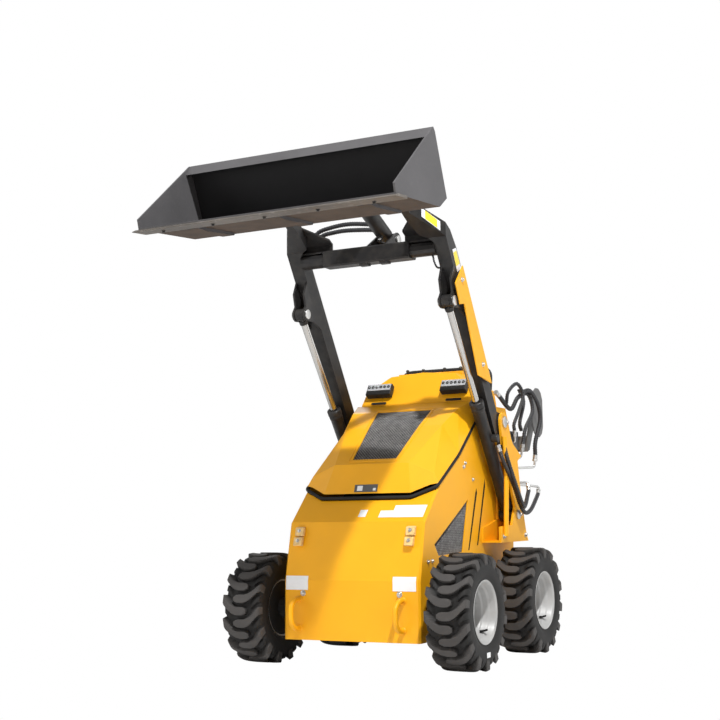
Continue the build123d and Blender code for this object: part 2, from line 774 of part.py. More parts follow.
beam_front = 70.0
beam_rear = 150.0
beam_low = 1846.0
beam_top = 1925.0
beam_half = 226.0
torque_tube = (108.0, 1884.0)
torque_tube_radius = 34.0
arm_top = (112.0, 1963.0)  # upper kink of the arms
arm_rise = (2176.0 - 1963.0) / (112.0 + 326.0)
gusset_front = -20.0
gusset_half = 192.0
with BuildPart() as crossbeam:
    plate(
        ((beam_front, beam_low), (beam_front, beam_top), (beam_rear, beam_top), (beam_rear, beam_low)),
        -beam_half,
        2 * beam_half,
    )
    chamfer(crossbeam.edges().filter_by(Axis.X), length=7)
    disc(torque_tube, torque_tube_radius, -arm_inner_x, 2 * arm_inner_x)
    plate(
        (
            (beam_front + 12, beam_top - 8),
            (beam_front + 12, beam_top),
            (beam_rear - 12, beam_top),
            (beam_rear - 12, beam_top - 8),
        ),
        -arm_inner_x,
        2 * arm_inner_x,
    )
    gusset_top = arm_top[1] + (arm_top[0] - gusset_front) * arm_rise
    for hand in (1, -1):
        plate(
            (
                arm_top,
                (gusset_front, gusset_top),
                (gusset_front, gusset_top - 8),
                (arm_top[0] - 8, arm_top[1] - 6),
                (arm_top[0] - 8, beam_top - 2),
                (arm_top[0], beam_top - 2),
            ),
            hand * gusset_half,
            hand * (arm_inner_x - gusset_half),
        )
        # each gusset tapers forwards to the arm
        with BuildSketch(level.offset(beam_top)) as cut:
            with BuildLine():
                Polyline(
                    (hand * (gusset_half - 5), arm_top[0] - 30),
                    (hand * (arm_inner_x - 67), gusset_front),
                    (hand * (arm_inner_x - 67), gusset_front - 20),
                    (hand * (gusset_half - 5), gusset_front - 20),
                    close=True,
                )
            make_face()
        extrude(cut.sketch, amount=200, mode=Mode.SUBTRACT)
        lug_plate(
            tilt_base,
            34,
            ((beam_front + 14, beam_top - 3), (beam_rear - 14, beam_top - 3)),
            tilt_x + hand * tilt_ear_half + (0 if hand == 1 else -eye_plate),
            eye_plate,
        )
    # nothing of the beam may enter the arms
    for hand in (1, -1):
        with BuildSketch(level.offset(1800)) as above:
            with BuildLine():
                Polyline(*[(hand * x, y) for x, y in arm_plan], close=True)
            make_face()
        extrude(above.sketch, amount=300, mode=Mode.SUBTRACT)
    # two clamps for the hoses under the beam
    for x in (-20, 85):
        plate(
            ((beam_front + 20, beam_low), (beam_front + 25, beam_low - 9), (beam_rear - 25, beam_low - 9),
             (beam_rear - 20, beam_low)),
            x - 22,
            44,
        )
finish(crossbeam.part, "crossbeam")

with BuildPart() as arm_locks:
    lock_outline = (
        (207, 1810),
        (117, 1715),
        (165, 1622),
        (216, 1633),
        (365, 1314),
        (534, 1289),
    )
    plate(lock_outline, arm_outer_x + 14, 6)
    for centre in ((190, 1740), (420, 1370)):
        disc(centre, 12, arm_outer_x, 14, sides=pipe_sides)
finish(arm_locks.part, "arm_locks")

with BuildPart() as arm_pipes:
    for hand in (1, -1):
        for offset_x in (8, 30):
            x = hand * (arm_inner_x + offset_x + 10)
            ends = [(x, *on_arm(up, arm_depth + 8)) for up in (-850, -40)]
            bar(x, ends[0][1:], ends[1][1:], 8, sides=pipe_sides)
finish(arm_pipes.part, "arm_pipes")

# ---------------------------------------------------------------- cylinders
def barrel(base, eye, x, radius, length, base_eye, base_width):
    """A cylinder's body: its base eye, its tube, its gland and two ports."""
    disc(base, base_eye, x - base_width / 2, base_width)
    bar(x, along(base, eye, base_eye - 8), along(base, eye, length), radius)
    bar(x, along(base, eye, length - 28), along(base, eye, length), radius + 4)
    disc(base, eye_pin_radius + pin_gap, x - 100, 200, mode=Mode.SUBTRACT)


def rod(base, eye, x, radius, inside, eye_radius, eye_width):
    """A cylinder's rod, from inside its body to the eye, which holds the pin."""
    reach = ((eye[0] - base[0]) ** 2 + (eye[1] - base[1]) ** 2) ** 0.5
    disc(eye, eye_radius, x - eye_width / 2, eye_width)
    bar(x, along(base, eye, inside), along(base, eye, reach - eye_radius + 6), radius)


lift_closed = 663.0  # from the base pin to the gland's face
tilt_closed = 425.0
for place, hand in (("left", 1), ("right", -1)):
    x = hand * arm_mid_x
    with BuildPart() as lift_barrel:
        barrel(lift_base, lift_eye, x, barrel_radius, lift_closed, 34, between - 2 * side_gap)
        bar(
            x,
            along(lift_base, lift_eye, 60),
            along(lift_base, lift_eye, lift_closed + 5),
            rod_radius + 0.05,
            mode=Mode.SUBTRACT,
        )
    finish(lift_barrel.part, f"lift_barrel_{place}")
    with BuildPart() as lift_rod:
        rod(lift_base, lift_eye, x, rod_radius, 545, 30, 42)
    finish(lift_rod.part, f"lift_rod_{place}")

with BuildPart() as tilt_barrel:
    barrel(tilt_base, tilt_eye, tilt_x, tilt_barrel_radius, tilt_closed, 32, 2 * tilt_ear_half - 2 * side_gap)
    bar(
        tilt_x,
        along(tilt_base, tilt_eye, 50),
        along(tilt_base, tilt_eye, tilt_closed + 5),
        tilt_rod_radius + 0.05,
        mode=Mode.SUBTRACT,
    )
finish(tilt_barrel.part, "tilt_barrel")

tilt_eye_width = 42.0
with BuildPart() as tilt_rod:
    rod(tilt_base, tilt_eye, tilt_x, tilt_rod_radius, 230, 28, tilt_eye_width)
finish(tilt_rod.part, "tilt_rod")

# ---------------------------------------------------------------- attachment plate and bucket
back_foot = (-372.0, 2000.0)  # on the bucket's back, where the attachment plate starts
back_angle = atan2(0.920, -0.391)


def on_back(up, off):
    """A side view point from distances up the bucket's back and behind it."""
    return (
        back_foot[0] + up * cos(back_angle) + off * sin(back_angle),
        back_foot[1] + up * sin(back_angle) - off * cos(back_angle),
    )


quick_half = arm_inner_x - 2
with BuildPart() as attachment_plate:
    plate((on_back(10, 10), on_back(10, 20), on_back(250, 20), on_back(250, 10)), -quick_half, 2 * quick_half)
    plate(
        (on_back(250, 10.1), on_back(232, 30), on_back(250, 30), on_back(262, 16)),
        -quick_half,
        2 * quick_half,
    )
    for hand in (1, -1):
        for x_from in (tip_inner_x - plate_gap - eye_plate, tip_outer_x + plate_gap):
            lug_plate(tip_pin, 36, (on_back(20, 20), on_back(220, 20)), hand * x_from, hand * eye_plate)
    disc(tip_pin, pivot_pin_radius + pin_gap, -400, 800, mode=Mode.SUBTRACT)
    for hand in (1, -1):
        ear = tilt_eye_width / 2 + side_gap
        x_from = tilt_x + hand * ear
        lug_plate(tilt_eye, 28, (on_back(120, 20), on_back(245, 20)), x_from, hand * eye_plate)
        disc(tilt_eye, eye_pin_radius + 6, x_from + hand * eye_plate, hand * 8, sides=pipe_sides)
finish(attachment_plate.part, "attachment_plate")

edge_tip = (-886.0, 1880.0)
side_low = (-859.0, 1893.0)
heel = (-438.0, 1930.0)
knuckle = (-364.0, 1982.0)
back_top = (-473.0, 2240.0)
lip_top = (-490.0, 2257.0)
lip_front = (-521.0, 2209.0)
side_front = (-870.0, 1935.0)
bucket_inner = bucket_half - bucket_side
with BuildPart() as bucket:
    for hand in (1, -1):
        plate(
            (side_low, (-859, 1897), side_front, lip_top, back_top, knuckle, heel),
            hand * bucket_inner,
            hand * bucket_side,
        )
    plate(
        (
            side_low,
            heel,
            knuckle,
            back_top,
            lip_top,
            lip_front,
            (lip_front[0] + 5.1, lip_front[1] - 3.3),
            (-488.9, 2247.5),
            (back_top[0] - 5.5, back_top[1] - 2.4),
            (knuckle[0] - 7.4, knuckle[1] + 2.1),
            (heel[0] - 2.1, heel[1] + 5.8),
            (side_low[0] - 0.5, side_low[1] + bucket_sheet),
        ),
        -bucket_inner,
        2 * bucket_inner,
    )
    plate((on_back(5, 0), on_back(5, 10), on_back(252, 10), on_back(252, 0)), 5 - quick_half, 2 * (quick_half - 5))
    for x in (-400, 0, 420):
        plate(
            (
                (-760, 1892),
                (-700, 1891),
                (-480, 1914),
                (-470, 1925),
                (-480, 1928),
                (-760, 1903),
            ),
            x - 30,
            60,
        )
finish(bucket.part, "bucket")

with BuildPart() as cutting_edge:
    plate(
        (edge_tip, (-884, 1878), (-786, 1886.3), (-787, 1898.4), (-862, 1891.8)),
        -bucket_half - edge_overhang,
        2 * (bucket_half + edge_overhang),
    )
finish(cutting_edge.part, "cutting_edge")

# ---------------------------------------------------------------- operator's step
with BuildPart() as step:
    plate(
        ((1068, 228), (1068, 236), (step_hinge[0] + step_reach, 236), (step_hinge[0] + step_reach, 228)),
        -step_half,
        2 * step_half,
    )
    for hand in (1, -1):
        plate(((1060, 236), (1060, 256), (1395, 256), (1395, 236)), hand * step_half, -hand * 6)
        disc(step_hinge, 16, hand * (step_half - 6), -hand * 40, sides=pipe_sides)
        plate(((1052, 222), (1052, 250), (1090, 236), (1090, 228)), hand * (step_half - 6), -hand * 40)
    disc(step_hinge, 8 + pin_gap, -300, 600, mode=Mode.SUBTRACT, sides=pipe_sides)
finish(step.part, "step")

with BuildPart() as step_brackets:
    for hand in (1, -1):
        x_from = hand * (step_half + 2)
        plate(
            ((body_rear_y, 190), (body_rear_y, 290), step_hinge, (1060, 215)),
            x_from,
            hand * 10,
        )
        disc(step_hinge, 18, x_from, hand * 10, sides=pipe_sides)
        disc(step_hinge, 8, x_from, -hand * 50, sides=pipe_sides)
finish(step_brackets.part, "step_brackets")

# ---------------------------------------------------------------- nose fittings
def nose_y(z):
    """How far forward the nose plate lies at a height."""
    low, high = (nose_foot, nose_crease) if z < nose_crease[1] else (nose_crease, nose_brow)
    return low[0] + (high[0] - low[0]) * (z - low[1]) / (high[1] - low[1])


pad_half_width = 21.0
pad_depth = 23.0
with BuildPart() as bumper_pads:
    for hand in (1, -1):
        for z, shift in ((556, 0), (600, 4)):
            low, high = z - 21, z + 22.5
            plate(
                (
                    (nose_y(low) - 0.4, low),
                    (nose_y(low) - pad_depth, low + 3),
                    (nose_y(high) - pad_depth, high - 3),
                    (nose_y(high) - 0.4, high),
                ),
                hand * (body_half - 60) - pad_half_width + shift,
                2 * pad_half_width,
            )
finish(bumper_pads.part, "bumper_pads")

hook_x = body_half - 81
hook_plate = 16.0
hook_low = 160.0
hook_tall = 156.0
hook_reach = 84.0  # in front of the nose
hook_band = 22.0
with BuildPart() as tie_hooks:
    for hand in (1, -1):
        outer = (
            (0, 0),
            (hook_reach - 34, 0),
            (hook_reach - 10, 20),
            (hook_reach, 52),
            (hook_reach, hook_tall - 48),
            (hook_reach - 10, hook_tall - 18),
            (hook_reach - 34, hook_tall),
            (0, hook_tall),
        )
        inner = (
            (0, hook_tall - hook_band),
            (hook_reach - 42, hook_tall - hook_band),
            (hook_reach - 28, hook_tall - 34),
            (hook_reach - hook_band, hook_tall - 56),
            (hook_reach - hook_band, 60),
            (hook_reach - 28, 36),
            (hook_reach - 42, hook_band),
            (0, hook_band),
        )
        outline = [(nose_y(hook_low + up) - 0.2 - reach, hook_low + up) for reach, up in outer + inner]
        plate(outline, hand * (hook_x - hook_plate / 2), hand * hook_plate)
finish(tie_hooks.part, "tie_hooks")
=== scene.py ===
# Wheeled stand-on skid steer loader, dressed over its CAD frame. Metres, X to the machine's left, Y to the rear.
import bmesh
import bpy
import numpy as np
from math import radians, sin, cos, pi
from mathutils import Matrix, Vector


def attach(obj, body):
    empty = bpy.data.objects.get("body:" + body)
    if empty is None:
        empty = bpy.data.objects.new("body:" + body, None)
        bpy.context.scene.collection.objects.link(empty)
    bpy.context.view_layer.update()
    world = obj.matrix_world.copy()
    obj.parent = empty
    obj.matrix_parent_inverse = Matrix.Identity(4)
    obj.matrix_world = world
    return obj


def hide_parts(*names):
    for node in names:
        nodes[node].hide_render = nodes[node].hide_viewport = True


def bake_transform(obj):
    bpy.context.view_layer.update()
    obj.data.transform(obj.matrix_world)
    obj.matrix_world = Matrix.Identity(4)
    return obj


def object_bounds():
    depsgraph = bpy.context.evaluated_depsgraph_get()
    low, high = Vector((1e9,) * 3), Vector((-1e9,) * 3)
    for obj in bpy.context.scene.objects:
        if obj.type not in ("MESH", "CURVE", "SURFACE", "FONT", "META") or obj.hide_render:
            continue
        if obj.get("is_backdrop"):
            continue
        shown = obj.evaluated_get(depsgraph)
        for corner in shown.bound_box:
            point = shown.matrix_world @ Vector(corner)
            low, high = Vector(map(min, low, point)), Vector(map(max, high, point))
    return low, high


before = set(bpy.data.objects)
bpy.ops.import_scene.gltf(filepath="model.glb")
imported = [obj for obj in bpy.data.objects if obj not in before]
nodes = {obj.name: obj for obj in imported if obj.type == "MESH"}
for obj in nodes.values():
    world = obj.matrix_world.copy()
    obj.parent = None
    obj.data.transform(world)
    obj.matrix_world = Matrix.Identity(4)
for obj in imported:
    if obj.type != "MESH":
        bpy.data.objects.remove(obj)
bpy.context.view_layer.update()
axleY = -0.257  # front axle in the part's frame


# a place counted from the front axle's line on the floor, as the drawings have it
def spot(x, y, z):
    return np.array((x, axleY + y, z), float)


# an object of the scene from its data
def placed(name, data):
    made = bpy.data.objects.new(name, data)
    bpy.context.scene.collection.objects.link(made)
    return made


# a direction as an array of length one
def unit(direction):
    direction = np.asarray(direction, float)
    return direction / np.linalg.norm(direction)


# camera, lamps and floor
view = {"lens": 63.53, "sensor": 36.0, "near": 0.1, "far": 100, "place": (2.652, -5.152, 0.686),
        "yaw": 27.22, "pitch": 6.817, "roll": -0.846}


def makeCamera():
    yaw, pitch, roll = (radians(view[k]) for k in ("yaw", "pitch", "roll"))
    ahead = Vector((-sin(yaw) * cos(pitch), cos(yaw) * cos(pitch), sin(pitch)))
    right = Vector((cos(yaw), sin(yaw), 0))
    up = right.cross(ahead)
    # the roll turns right and up about the line of sight
    turnedRight = right * cos(roll) + up * sin(roll)
    turnedUp = up * cos(roll) - right * sin(roll)
    data = bpy.data.cameras.new("camera")
    data.lens, data.sensor_width = view["lens"], view["sensor"]
    data.clip_start, data.clip_end = view["near"], view["far"]
    camera = placed("camera", data)
    turn = Matrix((turnedRight, turnedUp, -ahead)).transposed().to_4x4()
    camera.matrix_world = Matrix.Translation(Vector(spot(*view["place"]))) @ turn
    bpy.context.scene.camera = camera


studio = {
    "sky": 0.4,
    "floor": (0.86, 0.86, 0.86, 1),
    "floorHalf": 30,
    "lamps": (
        # name, place, aim, size, watts, colour
        ("key", (3.0, -3.3, 6.9), (0, 0, 0.8), 0.22, 600, (1, 1, 1)),
        ("left", (-4.6, -3.4, 3.2), (0, 0, 0.9), 3.2, 70, (1, 1, 1)),
        ("far side", (5.2, 5.0, 2.6), (0.3, 0, 1.2), 4.4, 90, (1, 1, 1)),
        ("back", (-2.5, 4.6, 4.2), (0, 0, 1.0), 2.6, 70, (1, 1, 1)),
        # sand-coloured light thrown up by the ground
        ("low", (1.5, -5.5, 0.6), (0, 0, 1.2), 2.6, 34, (1.0, 0.8, 0.62)),
    ),
}


# pure white to the camera, and the other shader to every ray that bounces
def whiteToCamera(tree, outKind, whiteKind, other):
    out = tree.nodes.new(outKind)
    path = tree.nodes.new("ShaderNodeLightPath")
    mix = tree.nodes.new("ShaderNodeMixShader")
    white = tree.nodes.new(whiteKind)
    white.inputs["Color"].default_value = (1, 1, 1, 1)
    tree.links.new(path.outputs["Is Camera Ray"], mix.inputs["Fac"])
    tree.links.new(other.outputs[0], mix.inputs[1])
    tree.links.new(white.outputs[0], mix.inputs[2])
    tree.links.new(mix.outputs[0], out.inputs["Surface"])


def makeStudio():
    world = bpy.data.worlds.new("studio")
    bpy.context.scene.world = world
    world.use_nodes = True
    world.node_tree.nodes.clear()
    lit = world.node_tree.nodes.new("ShaderNodeBackground")
    lit.inputs["Color"].default_value = (1, 1, 1, 1)
    lit.inputs["Strength"].default_value = studio["sky"]
    whiteToCamera(world.node_tree, "ShaderNodeOutputWorld", "ShaderNodeBackground", lit)
    for name, place, aim, size, watts, colour in studio["lamps"]:
        data = bpy.data.lights.new(name, "AREA")
        data.energy, data.size, data.color = watts, size, colour
        lamp = placed(name, data)
        lamp.location = place
        lamp.rotation_euler = (Vector(aim) - Vector(place)).to_track_quat("-Z", "Y").to_euler()
    corners = np.array(((-1, -1, 0), (1, -1, 0), (1, 1, 0), (-1, 1, 0)), float) * studio["floorHalf"]
    ground = meshFrom("floor", corners, np.array([[0, 1, 2, 3]]))
    pale = bpy.data.materials.new("floor")
    pale.use_nodes = True
    pale.node_tree.nodes.clear()
    matt = pale.node_tree.nodes.new("ShaderNodeBsdfDiffuse")
    matt.inputs["Color"].default_value = studio["floor"]
    whiteToCamera(pale.node_tree, "ShaderNodeOutputMaterial", "ShaderNodeEmission", matt)
    ground.data.materials.append(pale)
    ground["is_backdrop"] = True
    bpy.context.scene.view_settings.view_transform = "Standard"


# a mesh object from an array of points and an array of equal faces
def meshFrom(name, points, faces, smooth=False):
    data = bpy.data.meshes.new(name)
    faces = np.ascontiguousarray(faces, np.int32)
    corners = faces.shape[1]
    data.vertices.add(len(points))
    data.vertices.foreach_set("co", np.ascontiguousarray(points, np.float32).ravel())
    data.loops.add(faces.size)
    data.loops.foreach_set("vertex_index", faces.ravel())
    data.polygons.add(len(faces))
    data.polygons.foreach_set("loop_start", np.arange(0, faces.size, corners, dtype=np.int32))
    data.update(calc_edges=True)
    data.polygons.foreach_set("use_smooth", np.full(len(data.polygons), smooth))
    data.validate()
    return placed(name, data)


# one array of points and one of faces from a list of such pairs
def joined(parts):
    starts = np.cumsum([0] + [len(points) for points, faces in parts[:-1]])
    return (np.concatenate([points for points, faces in parts]),
        np.concatenate([faces + start for (points, faces), start in zip(parts, starts)]))


# quads over a grid of points laid out row by row
def gridFaces(rows, columns, closedRows=False, closedColumns=False):
    down = np.arange(rows if closedRows else rows - 1)
    across = np.arange(columns if closedColumns else columns - 1)
    i, j = np.meshgrid(down, across, indexing="ij")
    nextI, nextJ = (i + 1) % rows, (j + 1) % columns
    corners = (i * columns + j, i * columns + nextJ, nextI * columns + nextJ, nextI * columns + j)
    return np.stack(corners, -1).reshape(-1, 4)


# two unit vectors square to a direction and to each other
def frameAcross(direction):
    ahead = unit(direction)
    helper = np.array((0, 0, 1.0)) if abs(ahead[2]) < 0.9 else np.array((1.0, 0, 0))
    first = unit(np.cross(helper, ahead))
    return first, np.cross(ahead, first)


# rings of unit vectors: first x cos + second x sin at even turns
def ringOf(first, second, sides):
    turn = np.arange(sides) * 2 * pi / sides
    return np.cos(turn)[:, None] * first[..., None, :] + np.sin(turn)[:, None] * second[..., None, :]


# a body of revolution: profile rows are (distance along the direction, radius), closed by its own poles
def turned(start, direction, profile, sides=48):
    profile = np.asarray(profile, float)
    ring = ringOf(*frameAcross(direction), sides)
    # point = start + direction x distance + ring x radius
    points = np.asarray(start) + profile[:, None, :1] * unit(direction) + profile[:, None, 1:] * ring[None]
    return points.reshape(-1, 3), gridFaces(len(profile), sides, closedColumns=True)[:, ::-1]


# a turned profile from (distance, radius) steps whose edges get a small bevel, so that they catch the light
def bevelled(steps, radius=0.0015):
    steps = np.asarray(steps, float)
    out = []
    for index, here in enumerate(steps):
        around = [steps[k] for k in (index - 1, index + 1) if 0 <= k < len(steps)]
        spans = [np.linalg.norm(other - here) for other in around]
        if len(around) < 2 or min(spans) < 1e-6:
            out.append(here)
            continue
        reach = min(radius, min(spans) * 0.4)
        out += [here + (other - here) * reach / span for other, span in zip(around, spans)]
    return np.array(out)


# a round bar from a place along a direction, its two edges bevelled
def drum(place, direction, radius, length, sides=40, bevel=0.0015):
    return turned(place, direction, bevelled(((0, 0), (0, radius), (length, radius), (length, 0)), bevel), sides)


# a smooth line through the given points, by cubic pieces whose slopes come from their neighbours
def smoothLine(points, count):
    points = np.asarray(points, float)
    padded = np.concatenate((2 * points[:1] - points[1:2], points, 2 * points[-1:] - points[-2:-1]))
    where = np.linspace(0, len(points) - 1 - 1e-9, count)
    piece = where.astype(int)
    t = (where - piece)[:, None]
    a, b, c, d = (padded[piece + k] for k in range(4))
    # half of (2b + (c - a)t + (2a - 5b + 4c - d)t^2 + (3b - a - 3c + d)t^3)
    return 0.5 * (2 * b + (c - a) * t + (2 * a - 5 * b + 4 * c - d) * t**2 + (3 * b - a - 3 * c + d) * t**3)


# a closed tube round a line; the radius is one value, or one or a row of them for each point of the line
def tube(line, radius, sides=14):
    line = np.asarray(line, float)
    count = len(line)
    radius = np.asarray(radius, float)
    if radius.ndim < 2:
        radius = np.broadcast_to(radius, (count,))[:, None]
    ahead = np.gradient(line, axis=0)
    ahead /= np.linalg.norm(ahead, axis=1)[:, None]
    first = np.empty_like(line)
    first[0] = frameAcross(ahead[0])[0]
    for index in range(1, count):
        # carry the frame along without twist
        first[index] = unit(first[index - 1] - ahead[index] * np.dot(first[index - 1], ahead[index]))
    # point = line + ring x radius, with the first and last ring drawn together into a pole
    rows = line[:, None] + ringOf(first, np.cross(ahead, first), sides) * radius[..., None]
    ends = [np.broadcast_to(line[k], (1, sides, 3)) for k in (0, -1)]
    rows = np.concatenate((ends[0], rows, ends[1]))
    return rows.reshape(-1, 3), gridFaces(count + 2, sides, closedColumns=True)[:, ::-1]


# a smooth piece from (points, faces) pairs, which rides on a body and may stand for CAD nodes
def keep(name, parts, body, finish, replaced=(), angle=35):
    made = meshFrom(name, *joined(parts), smooth=True)
    made.data.set_sharp_from_angle(angle=radians(angle))
    made.data.materials.append(finishes[finish])
    settle(made, body, replaced)


# what a piece rides on and what it stands for
def settle(made, body, replaced=()):
    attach(made, body)
    if replaced:
        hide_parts(*replaced)


# a bar between an outline and its copy moved by a shift, with rounded edges
def prism(name, ring, shift, finish, body, bevel=0.003, segments=3, replaced=()):
    ring = np.asarray(ring, float)
    count = len(ring)
    points = np.concatenate((ring, ring + np.asarray(shift, float)))
    normal = sum(np.cross(ring[k] - ring[0], ring[(k + 1) % count] - ring[0]) for k in range(count))
    ends = [tuple(range(count - 1, -1, -1)), tuple(range(count, 2 * count))]
    sides = [(k, (k + 1) % count, (k + 1) % count + count, k + count) for k in range(count)]
    if np.dot(normal, shift) < 0:
        # the outline runs the other way round, so every face is turned over
        ends = [face[::-1] for face in ends]
        sides = [(a, d, c, b) for a, b, c, d in sides]
    data = bpy.data.meshes.new(name)
    data.from_pydata([tuple(point) for point in points], [], ends + sides)
    made = placed(name, data)
    data.materials.append(finishes[finish])
    roundOff(made, bevel, segments)
    settle(made, body, replaced)


# round a piece's edges, so that they catch the light as pressed and ground steel does
def roundOff(made, width, segments, angle=28):
    edge = made.modifiers.new("edges", "BEVEL")
    edge.width, edge.segments = width, segments
    edge.limit_method, edge.angle_limit = "ANGLE", radians(angle)
    edge.use_clamp_overlap = True
    # flat faces keep their own direction and the rounded edges take up the turn
    evened = made.modifiers.new("shading", "WEIGHTED_NORMAL")
    evened.mode, evened.weight, evened.keep_sharp = "FACE_AREA", 100, True
    made.data.polygons.foreach_set("use_smooth", np.ones(len(made.data.polygons), bool))


# a CAD node's form with rounded edges and a better finish, in the node's place
def softened(node, body, width, segments, angle):
    made = placed(node + "_shell", nodes[node].data.copy())
    made.data.transform(nodes[node].matrix_world)
    mesh = bmesh.new()
    mesh.from_mesh(made.data)
    bmesh.ops.remove_doubles(mesh, verts=mesh.verts, dist=2e-5)
    bmesh.ops.dissolve_limit(mesh, angle_limit=radians(0.6), verts=mesh.verts, edges=mesh.edges, delimit=set())
    bmesh.ops.recalc_face_normals(mesh, faces=mesh.faces)
    mesh.to_mesh(made.data)
    mesh.free()
    if node == "bucket":
        # the inside is painted near black as painted shade, and faces turned down take a brown tone as painted warm
        # light thrown up by the ground
        made.data.materials.append(finishes["painted_shade_inside"])
        made.data.materials.append(finishes["painted_ground_glow"])
        middle = sum((Vector(corner) for corner in made.bound_box), Vector()) / 8
        for face in made.data.polygons:
            if abs(face.normal.x) < 0.5 and face.normal.dot(middle - face.center) > 0.02:
                face.material_index = 1
            elif face.normal.z < -0.5:
                face.material_index = 2
    roundOff(made, width, segments, angle)
    settle(made, body, (node,))


# hexagon bolt heads on washers; each row is a place, a direction and the head's radius
def bolts(name, rows, body, finish="steel"):
    parts = []
    for place, direction, size in rows:
        ahead = unit(direction)
        head = ((0, 0), (0, size), (size * 0.9, size), (size * 1.05, size * 0.72), (size * 1.05, 0))
        parts.append(drum(np.asarray(place) - ahead * 0.0004, ahead, size * 1.5, size * 0.28, 24, size * 0.1))
        parts.append(turned(np.asarray(place) + ahead * size * 0.25, ahead, bevelled(head, size * 0.08), 6))
    keep(name, parts, body, finish)


# a blank label laid over a face; rows are lines of points along it
def sticker(name, rows, finish, body, lift):
    rows = np.asarray(rows, float)
    normal = unit(np.cross(rows[0, -1] - rows[0, 0], rows[-1, 0] - rows[0, 0]))
    made = meshFrom(name, rows.reshape(-1, 3) + normal * lift, gridFaces(rows.shape[0], rows.shape[1])[:, ::-1])
    thick = made.modifiers.new("thickness", "SOLIDIFY")
    thick.thickness, thick.offset = 0.0005, -1
    made.data.materials.append(finishes[finish])
    settle(made, body)


# a painted, moulded or metal finish: a base colour mottled by soft noise, a fine grain, dust and worn patches
def finishOf(name, colour, rough=0.5, metal=0.0, coat=0.0, grain=0.0, grainSize=400, mottle=0.06, mottleSize=6,
        dust=0.0, dustColour=(0.36, 0.31, 0.24), worn=0.0, wornColour=None, streak=(1, 1, 1), tread=False):
    made = bpy.data.materials.new(name)
    made.use_nodes = True
    tree = made.node_tree
    shader = tree.nodes["Principled BSDF"]

    # set a node's sockets to values, or link them to other nodes' outputs
    def fill(node, sockets):
        for key, value in sockets.items():
            if isinstance(value, bpy.types.NodeSocket):
                tree.links.new(value, node.inputs[key])
            else:
                node.inputs[key].default_value = value
        return node.outputs

    def put(kind, sockets):
        return fill(tree.nodes.new(kind), sockets)

    def mixed(factor, under, over):
        blend = tree.nodes.new("ShaderNodeMix")
        blend.data_type = "RGBA"
        return fill(blend, {"Factor": factor, "A": under, "B": over})["Result"]

    # speckled by a noise whose values from low to high rise from nothing to the most
    def laidOver(under, over, size, low, high, most, stretch=(1, 1, 1)):
        along = put("ShaderNodeMapping", {"Scale": stretch, "Vector": place})["Vector"]
        speck = put("ShaderNodeTexNoise", {"Scale": size, "Detail": 8, "Vector": along})["Fac"]
        spread = put("ShaderNodeMapRange", {"From Min": low, "From Max": high, "To Min": 0.0, "To Max": most,
            "Value": speck})["Result"]
        return mixed(spread, under, (*over, 1))

    fill(shader, {"Metallic": metal, "Coat Weight": coat, "Coat Roughness": 0.12, "Specular IOR Level": 0.32})
    place = put("ShaderNodeTexCoord", {})["Object"]
    noise = put("ShaderNodeTexNoise", {"Scale": mottleSize, "Detail": 5, "Vector": place})["Fac"]
    ramp = tree.nodes.new("ShaderNodeValToRGB")
    for element, where, share in zip(ramp.color_ramp.elements, (0.3, 0.7), (1 - mottle, 1 + mottle)):
        element.position = where
        element.color = (*(min(1, c * share) for c in colour), 1)
    colourOut = fill(ramp, {"Fac": noise})["Color"]
    if dust:
        colourOut = laidOver(colourOut, dustColour, 22, 0.42, 0.75, dust)
    if worn:
        colourOut = laidOver(colourOut, wornColour, 34, 0.56, 0.66, worn, streak)
    if tread:
        # lug tops carry pale dust; the grooves between them and the side walls are painted darker than the rubber, as
        # painted shade
        raised = tree.nodes.new("ShaderNodeAttribute")
        raised.attribute_name = "tread"
        top = mixed(0.3, colourOut, (0.135, 0.125, 0.118, 1))
        colourOut = mixed(raised.outputs["Fac"], (0.013, 0.0125, 0.012, 1), top)
    sheen = put("ShaderNodeMapRange", {"To Min": rough * 0.85, "To Max": min(1, rough * 1.15), "Value": noise})
    fill(shader, {"Base Color": colourOut, "Roughness": sheen["Result"]})
    if grain:
        fine = put("ShaderNodeTexNoise", {"Scale": grainSize, "Detail": 3, "Vector": place})["Fac"]
        bump = put("ShaderNodeBump", {"Strength": grain, "Distance": 0.0006, "Height": fine})["Normal"]
        fill(shader, {"Normal": bump})
    return made


